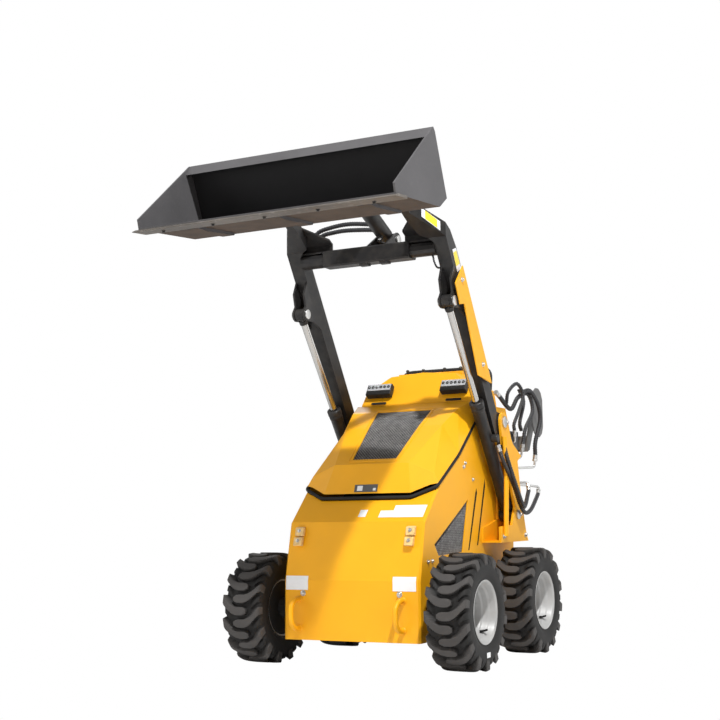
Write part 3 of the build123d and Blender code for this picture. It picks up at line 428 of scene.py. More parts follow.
makeCamera()
makeStudio()
finishes = {
    "yellow": finishOf("yellow paint", (0.88, 0.41, 0.006), rough=0.46, coat=0.06, grain=0.12, grainSize=260,
        mottle=0.03),
    "black": finishOf("black paint", (0.016, 0.0155, 0.016), rough=0.42, coat=0.05, grain=0.3, grainSize=500,
        dust=0.05),
    "bucket": finishOf("bucket paint", (0.092, 0.09, 0.094), rough=0.6, grain=0.35, grainSize=350, mottle=0.1,
        dust=0.1, dustColour=(0.13, 0.12, 0.12), worn=0.1, wornColour=(0.16, 0.16, 0.16),
        streak=(0.25, 2.5, 2.5)),
    "edge": finishOf("worn edge steel", (0.13, 0.115, 0.1), rough=0.5, metal=0.3, grain=0.3, grainSize=300,
        mottle=0.25, worn=0.3, wornColour=(0.34, 0.32, 0.3)),
    "rubber": finishOf("tyre rubber", (0.026, 0.025, 0.025), rough=0.66, grain=0.5, grainSize=300, dust=0.22,
        dustColour=(0.085, 0.078, 0.072), tread=True),
    "seal": finishOf("seal rubber", (0.012, 0.012, 0.012), rough=0.7, grain=0.4, grainSize=240),
    "hose": finishOf("hose rubber", (0.028, 0.028, 0.031), rough=0.42, coat=0.15, grain=0.3, grainSize=300),
    "rim": finishOf("rim paint", (0.42, 0.42, 0.415), rough=0.46, metal=0.15, coat=0.1, grain=0.1, mottle=0.08,
        dust=0.15, dustColour=(0.3, 0.28, 0.25)),
    "steel": finishOf("bare steel", (0.56, 0.56, 0.55), rough=0.35, metal=0.9, grain=0.1, mottle=0.1),
    "dark steel": finishOf("dark steel", (0.12, 0.12, 0.12), rough=0.4, metal=0.7, grain=0.2, mottle=0.2),
    "chrome": finishOf("hard chrome", (0.5, 0.49, 0.47), rough=0.2, metal=1.0, mottle=0.05),
    "plastic": finishOf("black plastic", (0.02, 0.02, 0.02), rough=0.5, grain=0.4),
    "amber": finishOf("cast polyurethane", (0.8, 0.53, 0.2), rough=0.45, grain=0.4, grainSize=140, mottle=0.2,
        mottleSize=60, dust=0.3, dustColour=(0.75, 0.66, 0.5)),
    "iron": finishOf("engine paint", (0.02, 0.02, 0.02), rough=0.6, metal=0.2),
    "mesh": finishOf("grille wire", (0.24, 0.235, 0.23), rough=0.4, metal=0.4, grain=0.2, mottle=0.3, mottleSize=40),
    # near-black paint for the bucket's inside: painted shade
    "painted_shade_inside": finishOf("bucket painted shade", (0.01, 0.0102, 0.012), rough=0.55, grain=0.35, grainSize=350, mottle=0.2),
    # brown tone for faces turned down: painted warm light thrown up by the ground
    "painted_ground_glow": finishOf("painted ground glow", (0.075, 0.055, 0.042), rough=0.8, grain=0.4, grainSize=300, mottle=0.25,
        mottleSize=14),
    "guard": finishOf("guard paint", (0.13, 0.13, 0.128), rough=0.5, grain=0.2, mottle=0.15, mottleSize=30),
    # near black for the plates behind openings: painted shade
    "dark": finishOf("painted shade behind openings", (0.004, 0.004, 0.004), rough=0.9, mottle=0.2),
    "label": finishOf("label film", (0.82, 0.83, 0.84), rough=0.3, coat=0.3, mottle=0.03, mottleSize=30),
    "label yellow": finishOf("yellow label film", (0.86, 0.66, 0.05), rough=0.35, coat=0.2, mottle=0.06,
        mottleSize=40),
    "lamp glass": finishOf("lamp glass", (0.8, 0.82, 0.85), rough=0.12, metal=0.7, coat=0.6, mottle=0.1,
        mottleSize=60),
    "reflector": finishOf("lamp reflector", (0.9, 0.91, 0.93), rough=0.1, metal=1.0, mottle=0.03),
    "knob": finishOf("lever knob", (0.025, 0.024, 0.024), rough=0.3, coat=0.4, mottle=0.1),
}

# what the CAD nodes that stay in sight are made of; the ones not named here are black
finishNodes = {
    "yellow": ("body_shell", "hood", "arm_locks", "console", "tower_left", "tower_right", "rear_cover"),
    "bucket": ("bucket", "attachment_plate"),
    "edge": ("cutting_edge",),
    "guard": ("hip_guards",),
    "amber": ("bumper_pads",),
    "iron": ("engine",),
}
finishOfNode = {node: finish for finish, names in finishNodes.items() for node in names}
for name, made in nodes.items():
    made.data.materials.clear()
    made.data.materials.append(finishes[finishOfNode.get(name, "black")])
print("stage: finishes done")

# pressed and welded steel: the CAD forms with rounded edges
sheets = (
    # body, slot, radius of the edges and the nodes
    ("frame", "yellow_paint", 0.0022, ("body_shell",)), ("hood_lid", "yellow_paint", 0.0016, ("hood",)),
    ("frame", "yellow_paint", 0.0016, ("console", "rear_cover")), ("bucket_group", "black_paint", 0.0016, ("bucket",)),
    ("bucket_group", "black_paint", 0.002, ("attachment_plate",)),
    ("bucket_group", "bare_steel", 0.0018, ("cutting_edge",)),
    ("arms", "black_paint", 0.005, ("lift_arm_left", "lift_arm_right")), ("arms", "black_paint", 0.003, ("crossbeam",)),
    ("frame", "yellow_paint", 0.0018, ("tower_left", "tower_right")), ("frame", "black_paint", 0.0018, ("hip_guards",)),
    ("arms", "yellow_paint", 0.0015, ("arm_locks",)), ("frame", "amber_plastic", 0.004, ("bumper_pads",)),
    ("step_board", "black_paint", 0.0015, ("step",)),
)
gentlyFolded = ("hood", "body_shell", "console")
for body, slot, width, names in sheets:
    for node in names:
        # the widest edges take a third step, and a gently folded sheet has its folds rounded too
        softened(node, body, width, 3 if width > 0.0028 else 2, 2.5 if node in gentlyFolded else 28)
print("stage: sheet metal done")

# tyres and wheels
tyre = {"radius": 0.252, "around": 840, "fine": 1300, "lugs": 14,
        "lead": 0.03, "swing": 8, "swingFrom": 0.01,  # a lug's middle line
        "share": 0.186, "inner": -0.04, "corner": 0.0195, "nose": 0.034, "wall": 0.0026,  # a lug's outline
        "block": 0.017, "blockWall": 0.003, "blockFrom": 0.066, "blockTo": 0.07, "blockLift": 0.42,
        "endLow": 0.198, "endHigh": 0.207}  # where lugs die out on the side wall
wheels = {"front_left": (0.5005, 0.0), "front_right": (-0.5005, 0.0),
        "rear_left": (0.5005, 0.768), "rear_right": (-0.5005, 0.768)}
# half sections from the bead to the middle of the tread, (x, radius): between two lugs, and over a lug
sideWall = ((0.0799, 0.1296), (0.085, 0.131), (0.0882, 0.138), (0.087, 0.144), (0.0915, 0.156), (0.0945, 0.172))
landSection = sideWall + ((0.095, 0.19), (0.0935, 0.204), (0.0885, 0.215), (0.079, 0.2225), (0.064, 0.2265),
        (0.044, 0.2288), (0.021, 0.2298), (0.0, 0.23))
lugSection = sideWall + ((0.0957, 0.19), (0.0965, 0.208), (0.0962, 0.227), (0.0945, 0.24), (0.084, 0.2488),
        (0.056, 0.2514), (0.027, 0.252), (0.0, 0.252))


# zero below low, one above high, and a smooth rise between: 3t^2 - 2t^3
def easing(value, low, high):
    t = np.clip((value - low) / (high - low), 0, 1)
    return t * t * (3 - 2 * t)


# the tyre's surface as a grid round the axle, and how far each point stands on a lug
def treadShape():
    spread = np.concatenate((np.linspace(0, 6, 12, endpoint=False), np.linspace(6, 13, 30))) / 13
    chosen = (spread * (tyre["fine"] - 1)).round().astype(int)
    halves = [smoothLine(section, tyre["fine"])[chosen] for section in (landSection, lugSection)]
    land, over = (np.concatenate((half, half[-2::-1] * (-1, 1))) for half in halves)
    turn = np.arange(tyre["around"])[:, None] * 2 * pi / tyre["around"]
    pitch = 2 * pi / tyre["lugs"]

    # distance round the tyre from the nearest of the lines that come once in each pitch
    def offLine(lead, share):
        away = (turn - lead / tyre["radius"]) / pitch - share
        return np.abs(away - np.round(away)) * pitch * tyre["radius"]

    raised = block = np.zeros((tyre["around"], len(land)))
    for hand, share in ((1, 0.25), (-1, 0.75)):
        out = hand * over[None, :, 0]
        # the middle line of a lug runs level across the tread and swings up towards the shoulder
        lead = tyre["lead"] - tyre["swing"] * np.maximum(out - tyre["swingFrom"], 0) ** 2
        reach = tyre["share"] * pitch * tyre["radius"]
        # a rounded inner end: distance outside a box with round corners
        across = np.maximum(offLine(lead, share) - (reach - tyre["corner"]), 0)
        inward = np.maximum(tyre["inner"] + tyre["nose"] - out, 0) * tyre["corner"] / tyre["nose"]
        edge = tyre["corner"] - np.hypot(across, inward)
        raised = np.maximum(raised, easing(edge, 0, tyre["wall"]))
        # a low block on the shoulder between two lugs
        low = easing(tyre["block"] - offLine(lead, share + 0.5), 0, tyre["blockWall"])
        block = np.maximum(block, low * easing(out, tyre["blockFrom"], tyre["blockTo"]))
    ends = easing(over[None, :, 1], tyre["endLow"], tyre["endHigh"])
    lift = np.maximum(raised, tyre["blockLift"] * block) * ends
    # point = land + (lug - land) x lift, swept round the axle
    section = land[None] + (over - land)[None] * lift[..., None]
    x, radius = section[..., 0], section[..., 1]
    return np.stack((x, -radius * np.sin(turn), radius * np.cos(turn)), -1), raised * ends


treadPoints, treadRaised = treadShape()
rimProfile = bevelled((
    (-0.088, 0.0), (-0.088, 0.03), (-0.06, 0.03), (-0.05, 0.112), (-0.0801, 0.121), (-0.0845, 0.137),
    (-0.088, 0.137), (-0.088, 0.1375), (-0.0801, 0.1294), (0.0801, 0.1294), (0.086, 0.137), (0.0895, 0.1372),
    (0.0895, 0.1345), (0.083, 0.127), (0.06, 0.1235), (0.052, 0.1165), (0.03, 0.114), (0.024, 0.106),
    (-0.004, 0.1035), (-0.012, 0.093), (-0.026, 0.09), (-0.03, 0.056), (-0.0285, 0.0)), 0.0025)
hubProfile = bevelled(((0, 0), (0, 0.036), (0.014, 0.034), (0.018, 0.026), (0.034, 0.024), (0.036, 0.0)))
# a black disc over the dish's inboard side: painted shade for the wheel's dark inner side
inboardShadeProfile = bevelled(((-0.0835, 0.0), (-0.0835, 0.1185), (-0.08, 0.1225), (-0.076, 0.1225), (-0.076, 0.0)))
wheelBolts = {"disc": -0.0295, "count": 5, "turn": 0.3, "circle": 0.064, "head": 0.0095}
valve = {"radii": (0.006, 0.0045, 0.0042),
        "line": ((0.034, 0.066, -0.088), (0.054, 0.062, -0.084), (0.07, 0.058, -0.079))}
for place, (x, y) in wheels.items():
    hand = np.sign(x)
    body = "wheel_" + place
    centre = spot(x, y, tyre["radius"])
    faces = gridFaces(*treadPoints.shape[:2], closedRows=True)
    points = treadPoints * (hand, 1, 1) + centre
    made = meshFrom("tread_" + place, points.reshape(-1, 3), faces if hand > 0 else faces[:, ::-1], smooth=True)
    # how far each point stands on a lug: pale dust on the tops, painted shade in the grooves
    dustAndShadeMask = made.data.attributes.new("tread", "FLOAT", "POINT")
    dustAndShadeMask.data.foreach_set("value", treadRaised.astype(np.float32).ravel())
    made.data.set_sharp_from_angle(angle=radians(50))
    made.data.materials.append(finishes["rubber"])
    settle(made, body, ("tyre_" + place,))
    ahead = np.array((hand, 0, 0.0))
    keep("dish_" + place, [turned(centre, ahead, rimProfile, 96)], body, "rim", ("rim_" + place,), 30)
    disc = centre + ahead * wheelBolts["disc"]
    turns = np.arange(wheelBolts["count"]) * 2 * pi / wheelBolts["count"] + wheelBolts["turn"]
    bolts("wheel_bolts_" + place, [(disc + np.array((0, cos(a), sin(a))) * wheelBolts["circle"], ahead,
        wheelBolts["head"]) for a in turns], body)
    keep("hub_" + place, [turned(disc - ahead * 0.002, ahead, hubProfile, 48)], body, "black")
    # the black inboard disc: painted shade
    keep("inboard_shade_" + place, [turned(centre, ahead, inboardShadeProfile, 72)], body, "seal")
    stem = centre + np.array(valve["line"]) * (hand, 1, 1)
    keep("valve_" + place, [tube(stem, valve["radii"])], body, "seal")
print("stage: wheels done")

# hydraulic cylinders; pins in (y, z), and each eye's radius and width
cylinders = {
    "lift": {"base": (0.842, 0.662), "eye": (0.137, 1.638), "places": {"_left": 0.385, "_right": -0.385},
        "radius": 0.031, "rod": 0.017, "closed": 0.663, "baseEye": (0.034, 0.076), "rodEye": (0.03, 0.042),
        "portSide": -1},
    "tilt": {"base": (0.235, 1.975), "eye": (-0.345, 2.235), "places": {"": 0.045},
        "radius": 0.037, "rod": 0.019, "closed": 0.425, "baseEye": (0.032, 0.078), "rodEye": (0.028, 0.042),
        "portSide": 1},
}
# steps of the barrel's head, counted from its end and from the barrel's radius
gland = ((-0.052, 0), (-0.05, 0.0022), (-0.034, 0.0022), (-0.032, 0), (-0.029, 0), (-0.028, 0.004), (-0.004, 0.004),
    (0, 0))
portProfile = bevelled(((0, 0.013), (0.012, 0.0125), (0.0125, 0.0105), (0.02, 0.0105), (0.02, 0)), 0.0005)


# a barrel with its ports, the rod in it and the rod's eye
def makeCylinder(kind, tail, x, ram):
    start, end = spot(x, *ram["base"]), spot(x, *ram["eye"])
    ahead, reach = unit(end - start), np.linalg.norm(end - start)
    across = np.array((1.0, 0, 0))
    down = np.cross(across, ahead) * ram["portSide"]
    (eyeRadius, eyeWidth), (rodEye, rodEyeWidth) = ram["baseEye"], ram["rodEye"]
    radius, rod, closed = ram["radius"], ram["rod"], ram["closed"]
    barrel = bevelled(((eyeRadius - 0.012, 0.012), (eyeRadius - 0.002, radius - 0.003), (eyeRadius + 0.01, radius),
        *((closed + along, radius + out) for along, out in gland), (closed, rod + 0.0035),
        (closed - 0.01, rod + 0.0003)), 0.0008)
    parts = [turned(start, ahead, barrel, 64),
        drum(start - across * eyeWidth / 2, across, eyeRadius, eyeWidth, 48, 0.0012)]
    for along in (eyeRadius + 0.052, closed - 0.072):
        port = start + ahead * along + down * (radius - 0.004)
        parts.append(turned(port, down, portProfile, 24))
        parts.append(drum(port + down * 0.016, down, 0.0115, 0.011, 6, 0.0005))
    keep(kind + "_tube" + tail, parts, kind + "_body" + tail, "black", (kind + "_barrel" + tail,))
    tip = reach - rodEye + 0.004
    shaft = bevelled(((closed - 0.118, 0.0), (closed - 0.118, rod), (tip, rod)), 0.0008)
    keep(kind + "_shaft" + tail, [turned(start, ahead, np.concatenate((shaft, ((tip, 0),))), 64)],
        kind + "_ram" + tail, "chrome", (kind + "_rod" + tail,))
    collar = bevelled(((0, 0.0), (0, rod + 0.004), (0.022, rod + 0.006), (0.022, 0)), 0.001)
    keep(kind + "_knuckle" + tail, [drum(end - across * rodEyeWidth / 2, across, rodEye, rodEyeWidth, 48, 0.0015),
        turned(end - ahead * (rodEye + 0.02), ahead, collar, 48)],
        kind + "_ram" + tail, "black")


for kind, ram in cylinders.items():
    for tail, x in ram["places"].items():
        makeCylinder(kind, tail, x, ram)
print("stage: cylinders done")


# a pin's round head, which steps in to a smaller radius at its end
def pinHead(place, direction, radius, inner):
    steps = ((0, 0), (0, radius), (0.007, radius), (0.008, inner), (0.008, 0))
    return turned(place, direction, bevelled(steps, 0.0008), 40)


# pins, and a bolt that keeps each pivot pin from turning
pins = {"pivots": (((0.685, 1.112), 0.019), ((0.842, 0.662), 0.015)), "pivotFrom": 0.346, "pivotTo": 0.436,
        "liftEye": (0.137, 1.638), "liftEyeAt": ((0.352, -1), (0.418, 1)),
        "tip": (-0.31, 2.14), "tipAt": ((0.28, -1), (0.312, 1)), "tilt": (0.235, 1.975)}
tipProfile = bevelled(((0, 0), (0, 0.019), (0.02, 0.019), (0.02, 0.028), (0.027, 0.028), (0.028, 0.02),
        (0.028, 0)), 0.0008)
pivotPins, eyePins, retainers = [], [], []
for hand in (1, -1):
    out = np.array((hand, 0, 0.0))
    for (y, z), radius in pins["pivots"]:
        pivotPins.append(drum(spot(hand * pins["pivotFrom"], y, z), out, radius, 0.09))
        pivotPins.append(pinHead(spot(hand * pins["pivotTo"], y, z), out, radius + 0.009, radius + 0.002))
        retainers.append((spot(hand * pins["pivotTo"], y + radius + 0.022, z), out, 0.0075))
    for start, way in pins["liftEyeAt"]:
        eyePins.append(pinHead(spot(hand * start, *pins["liftEye"]), out * way, 0.024, 0.018))
    for start, way in pins["tipAt"]:
        eyePins.append(turned(spot(hand * start, *pins["tip"]), out * way, tipProfile, 40))
    eyePins.append(pinHead(spot(0.045 + hand * 0.05, *pins["tilt"]), out, 0.021, 0.015))
eyePins.append(drum(spot(0.005, *pins["tilt"]), (1, 0, 0), 0.015, 0.08))
keep("pivot_pins", pivotPins, "frame", "steel", ("frame_pins",))
keep("eye_pins", eyePins, "arms", "steel", ("tip_pins",))
bolts("pin_bolts", retainers, "frame")
print("stage: pins done")


# straight runs whose corners are eased by curves: (1-t)^2 a + 2t(1-t) b + t^2 c round each corner b
def bentLine(points, bend):
    points = [np.asarray(point, float) for point in points]
    line = [points[0]]
    for before, corner, after in zip(points, points[1:], points[2:]):
        spans = [np.linalg.norm(other - corner) for other in (before, after)]
        reach = min(bend, 0.45 * min(spans))
        a, c = (corner + (other - corner) * reach / span for other, span in zip((before, after), spans))
        t = np.linspace(0, 1, 8)[:, None]
        line += list((1 - t) ** 2 * a + 2 * t * (1 - t) * corner + t**2 * c)
    return np.array(line + [points[-1]])


spiral = {"winding": 0.0125, "relief": 0.0017, "row": 0.0021, "sides": 18}


# a hose with a spiral guard round it: its radius rises and falls along a helix
def guarded(name, points, radius):
    rough = smoothLine([spot(*point) for point in points], 400)
    length = np.concatenate(([0], np.cumsum(np.linalg.norm(np.diff(rough, axis=0), axis=1))))
    even = np.linspace(0, length[-1], int(length[-1] / spiral["row"]))
    line = np.stack([np.interp(even, length, rough[:, k]) for k in range(3)], -1)
    turn = np.arange(spiral["sides"]) * 2 * pi / spiral["sides"]
    # radius - relief x (1 - |sin|^3), a narrow groove once each winding
    wave = 1 - np.abs(np.sin(pi * even[:, None] / spiral["winding"] - turn[None] / 2)) ** 3
    made = meshFrom(name, *tube(line, radius - spiral["relief"] * wave, spiral["sides"]), smooth=True)
    made.data.materials.append(finishes["hose"])
    return made


# a crimped ferrule and its hexagon nut at a hose's end
def fitting(place, direction, radius, length=0.034):
    ahead = unit(direction)
    sleeve = bevelled(((0, 0), (0, radius * 1.1), (length * 0.55, radius * 1.12), (length * 0.56, radius * 0.8),
        (length * 0.62, radius * 0.8), (length * 0.62, 0)), 0.0006)
    return [turned(place, ahead, sleeve, 24),
        drum(place + ahead * length * 0.62, ahead, radius * 1.25, length * 0.38, 6, 0.0006)]


hoses = {
    # radius, then the points its line passes through
    "upper_loop": (0.0085, ((0.4, 0.82, 1.215), (0.42, 0.8, 1.27), (0.44, 0.87, 1.315), (0.455, 0.915, 1.26),
        (0.45, 0.865, 1.18), (0.44, 0.815, 1.11), (0.435, 0.83, 1.08))),
    "long_arc": (0.0105, ((0.385, 0.755, 1.25), (0.4, 0.875, 1.19), (0.425, 0.92, 1.25), (0.455, 1.0, 1.29),
        (0.47, 1.085, 1.23), (0.47, 1.12, 1.145), (0.46, 1.065, 1.03), (0.455, 1.07, 0.965))),
    "inner_arc": (0.0095, ((0.41, 0.95, 1.25), (0.44, 1.025, 1.275), (0.455, 1.05, 1.19), (0.445, 0.965, 1.095),
        (0.435, 0.945, 1.015))),
    "short_drop": (0.009, ((0.42, 0.95, 1.295), (0.435, 0.975, 1.23), (0.43, 0.925, 1.125),
        (0.425, 0.955, 1.085))),
    "cylinder_front": (0.0095, ((0.44, 0.61, 0.965), (0.455, 0.625, 0.905), (0.456, 0.735, 0.81),
        (0.46, 0.82, 0.705), (0.46, 0.89, 0.67), (0.46, 0.975, 0.69),
        (0.45, 1.11, 0.765))),
    "cylinder_rear": (0.0095, ((0.44, 0.675, 0.985), (0.46, 0.66, 0.925), (0.475, 0.72, 0.805),
        (0.48, 0.795, 0.71), (0.475, 0.845, 0.708), (0.455, 0.955, 0.78))),
}
pipes = {
    "long_arc": ((0.455, 1.07, 0.963), (0.445, 1.082, 0.9), (0.39, 0.9, 0.893)),
    "inner_arc": ((0.435, 0.945, 1.018), (0.425, 0.942, 0.945), (0.39, 0.87, 0.94)),
    "upper_loop": ((0.435, 0.83, 1.083), (0.425, 0.86, 1.02), (0.39, 0.848, 1.018)),
    "cylinder_front": ((0.45, 1.11, 0.764), (0.445, 1.142, 0.802), (0.39, 0.975, 0.812)),
    "cylinder_rear": ((0.455, 0.955, 0.777), (0.445, 0.98, 0.822), (0.39, 0.935, 0.822)),
}
pipeSize = {"radius": 0.006, "bend": 0.02}
for name, (radius, points) in hoses.items():
    made = guarded("hose_" + name, points, radius * 1.12)
    if name == "long_arc":
        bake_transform(made)
    elif name.startswith("cylinder"):
        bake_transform(made)
    else:
        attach(made, "frame")
for name, points in pipes.items():
    radius, along = hoses[name]
    line = bentLine([spot(*point) for point in points], pipeSize["bend"])
    keep("pipe_" + name, [tube(line, pipeSize["radius"]), *fitting(spot(*along[-1]), line[2] - line[0], radius)],
        "frame", "steel")
blockProfile = bevelled(((0, 0), (0, 0.02), (0.03, 0.02), (0.032, 0.019), (0.034, 0.016), (0.034, 0)), 0.001)
keep("hose_block", [turned(spot(0.412, 0.58, 1.028), (1, 0, 0), blockProfile, 40)], "lift_body_left",
     "black")


# the fitting at the first end of a hose
def firstFitting(name):
    radius, points = hoses[name]
    first, second = (spot(*point) for point in points[:2])
    return fitting(first, first - second, radius)


keep("hose_elbows", firstFitting("cylinder_front") + firstFitting("cylinder_rear"), "lift_body_left",
     "steel")
keep("arm_fitting", firstFitting("long_arc"), "arms", "steel")
valveBlock = ((0.8, 0.985), (0.8, 1.075), (0.925, 1.075), (0.925, 0.985))
prism("valve_block", [spot(0.35, y, z) for y, z in valveBlock], (0.07, 0, 0), "dark steel", "frame")

# two hoses along the beam to the tilt cylinder, and a thin one beside the left arm
beamHoses = (
    (0.0115, ((-0.338, 0.172, 1.93), (-0.342, 0.185, 1.99), (-0.32, 0.195, 2.046), (-0.25, 0.2, 2.066),
        (-0.158, 0.202, 2.073), (-0.06, 0.202, 2.062), (-0.005, 0.205, 2.05))),
    (0.0115, ((-0.318, 0.17, 1.93), (-0.32, 0.182, 1.985), (-0.296, 0.19, 2.026), (-0.23, 0.192, 2.038),
        (-0.158, 0.192, 2.04), (-0.06, 0.192, 2.032), (-0.005, 0.198, 2.026))),
    (0.005, ((0.304, 0.132, 1.868), (0.332, 0.105, 1.848), (0.349, 0.08, 1.815), (0.349, 0.11, 1.795),
        (0.347, 0.165, 1.8))),
)
for index, (radius, points) in enumerate(beamHoses):
    made = guarded(f"beam_hose_{index + 1}", points, radius)
    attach(made, "arms")

# pipes behind the arms and up the towers, in their CAD places
lines = {"armSlope": 58, "armX": (0.37, 0.392), "armBack": 0.092, "armFrom": -0.85, "armTo": -0.04,
        "towerX": 0.444, "towerY": (0.64, 0.662), "radius": 0.008}


# a place in the side view from distances up an arm's tube and back from its front edge
def onArm(up, back):
    slope = radians(lines["armSlope"])
    return 0.1 - up * cos(slope) + back * sin(slope), 1.862 + up * sin(slope) + back * cos(slope)


armLines, towerLines = [], []
for hand in (1, -1):
    for x in lines["armX"]:
        ends = [spot(hand * x, *onArm(up, lines["armBack"])) for up in (lines["armFrom"], lines["armTo"])]
        armLines.append(tube(np.linspace(*ends, 12), lines["radius"], 20))
    x = hand * lines["towerX"]
    for y in lines["towerY"]:
        bent = bentLine([spot(x, y, 0.56), spot(x, y + 0.03, 0.9), spot(x, y + 0.01, 1.04)], 0.06)
        towerLines.append(tube(smoothLine(bent, 40), lines["radius"], 16))
keep("arm_lines", armLines, "arms", "steel", ("arm_pipes",))
keep("tower_lines", towerLines, "frame", "yellow", ("tower_pipes",))
seam = {"radius": 0.0082, "lift": 0.0108, "bend": 0.018,
        "half": ((0.335, 0.554, 1.095), (0.335, 0.345, 0.934), (0.335, 0.085, 0.783), (0.228, 0.038, 0.738))}
around = seam["half"] + tuple((-x, y, z) for x, y, z in reversed(seam["half"]))
rope = tube(bentLine([spot(x, y, z + seam["lift"]) for x, y, z in around], seam["bend"]), seam["radius"], 20)
keep("seam_rope", [rope], "frame", "seal", ("hood_seal",))
grip = {"radius": 0.013, "bend": 0.06,
        "line": ((-0.25, 0.958, 1.207), (-0.25, 1.0, 1.42), (0.25, 1.0, 1.42), (0.25, 0.958, 1.207))}
bar = tube(bentLine([spot(*point) for point in grip["line"]], grip["bend"]), grip["radius"], 28)
feet = [drum(spot(x, 0.957, 1.2025), (0, 0, 1), 0.027, 0.006, 32, 0.0008) for x in (-0.25, 0.25)]
keep("grip_bar", [bar, *feet], "frame", "black", ("grab_bar",))
print("stage: hoses done")


# a thin near-black plate behind an opening, painted shade for the shaded space behind it
def shadePlate(name, ring, shift, body):
    prism(name, ring, shift, "dark", body, 0.0002, 1)


# expanded metal: zigzag strands that touch at every other corner;
# place turns (u, v) into a point and opening says where metal stays
def lattice(name, place, rows, columns, opening, shade_plate, body, replaced, normal, strand=0.0015):
    u, v = np.arange(*rows), np.arange(*columns)
    i, j = np.meshgrid(np.arange(len(u)), np.arange(len(v)), indexing="ij")
    # each strand swings half a step to either side, its neighbours the other way
    swung = u[i] + rows[2] * 0.5 * np.where((i + j) % 2, 1.0, -1.0) * 0.93
    middle = place(swung, v[j])
    sideways = place(swung + 1e-4, v[j]) - middle
    sideways *= strand * 1.15 / np.linalg.norm(sideways, axis=-1)[..., None]
    normal = np.asarray(normal, float)
    outward = normal * strand
    ring = np.stack((middle + sideways, middle + outward, middle - sideways, middle - outward), 2)
    stays = opening(u[i], v[j])
    pairs = stays[:, :-1] & stays[:, 1:]
    index = np.arange(ring.size // 3).reshape(ring.shape[:3])
    a, b = index[:, :-1][pairs], index[:, 1:][pairs]
    faces = np.stack((a, np.roll(a, -1, 1), np.roll(b, -1, 1), b), -1).reshape(-1, 4)
    used, faces = np.unique(faces, return_inverse=True)
    points, faces = ring.reshape(-1, 3)[used], faces.reshape(-1, 4)
    # turn the faces outwards
    corner = points[faces[0]]
    away = np.cross(corner[1] - corner[0], corner[3] - corner[0])
    if np.dot(away, corner.mean(0) - middle[stays][0]) < 0:
        faces = faces[:, ::-1]
    made = meshFrom(name, points, faces)
    made.data.materials.append(finishes["mesh"])
    settle(made, body, replaced)
    # a near-black plate under the mesh: painted shade
    shadePlate(name + "_backing", shade_plate, -normal * 0.0015, body)


hoodMesh = {"across": (-0.146, 0.1461, 0.0072), "along": (0.122, 0.497, 0.0062), "half": 0.12, "widening": 0.097,
        "sunk": 0.0078, "shade_plate": 0.022}
hoodRows = np.array(((0.02, 0.844), (0.345, 1.088), (0.47, 1.172), (0.588, 1.216)))


# height of the hood at a distance back, along its straight rows
def hoodTop(y):
    return np.interp(y, hoodRows[:, 0], hoodRows[:, 1])


# corners of a plate below the hood between two distances back
def underHood(front, back, half=0.146):
    return [spot(x, y, hoodTop(y) - hoodMesh["shade_plate"])
        for x, y in ((-half, front), (half, front), (half, back), (-half, back))]


lattice("hood_mesh", lambda u, v: np.stack((u, axleY + v, hoodTop(v) - hoodMesh["sunk"]), -1),
        hoodMesh["across"], hoodMesh["along"],
        lambda u, v: np.abs(u) < hoodMesh["half"] + (v - 0.133) * hoodMesh["widening"],
        underHood(0.124, 0.345), "hood_lid", ("hood_grille",), (0, -0.6, 0.8))
# a near-black plate under the rest of the opening: painted shade
shadePlate("hood_mesh_upper_backing", underHood(0.346, 0.47), (0, 0.0009, -0.0012), "hood_lid")
sideMesh = {
    "up": (0.474, 0.876, 0.0078), "along": (0.022, 0.686, 0.0064), "x": 0.3295, "backingX": 0.3245,
    "brow": ((0.022, 0.45, 0.685), (0.56, 0.772, 0.876)),
    "corners": ((0.022, 0.472), (0.022, 0.56), (0.45, 0.772), (0.685, 0.876), (0.685, 0.472)),
    # two bent slots, each with a near-black plate behind it as painted shade
    "slotX": 0.3374,
    "slots": (((0.5485, 0.7925), (0.5325, 0.7705), (0.4265, 0.5), (0.4435, 0.5), (0.5565, 0.768)),
        ((0.6595, 0.8455), (0.6395, 0.8), (0.5365, 0.52), (0.5535, 0.52), (0.6625, 0.8))),
}
for hand, side in ((1, "left"), (-1, "right")):
    lattice("side_mesh_" + side, lambda u, v: np.stack((hand * (sideMesh["x"] + 0 * u), axleY + v, u), -1),
        sideMesh["up"], sideMesh["along"], lambda u, v: u < np.interp(v, *sideMesh["brow"]),
        [spot(hand * sideMesh["backingX"], y, z) for y, z in sideMesh["corners"]], "frame",
        ("side_grilles",) if hand == 1 else (), (hand, 0, 0))
    for index, corners in enumerate(sideMesh["slots"]):
        # near-black plates behind the slots: painted shade
        shadePlate(f"slot_shade_plate_{side}_{index + 1}", [spot(hand * sideMesh["slotX"], y, z) for y, z in corners],
            (hand * -0.002, 0, 0), "frame")
# a folded lip round the hood's opening
lip = {"corners": ((-0.127, 0.119), (0.127, 0.119), (0.161, 0.499), (-0.161, 0.499)), "radius": 0.0026}
route = []
for here, after in zip(lip["corners"], lip["corners"][1:] + lip["corners"][:1]):
    route += [np.array(here) + (np.array(after) - here) * t for t in np.linspace(0.02, 0.98, 14)]
keep("hood_lip", [tube([spot(x, y, hoodTop(y) - 0.0002) for x, y in route + route[:1]], lip["radius"], 10)],
     "hood_lid", "yellow")
print("stage: grilles done")

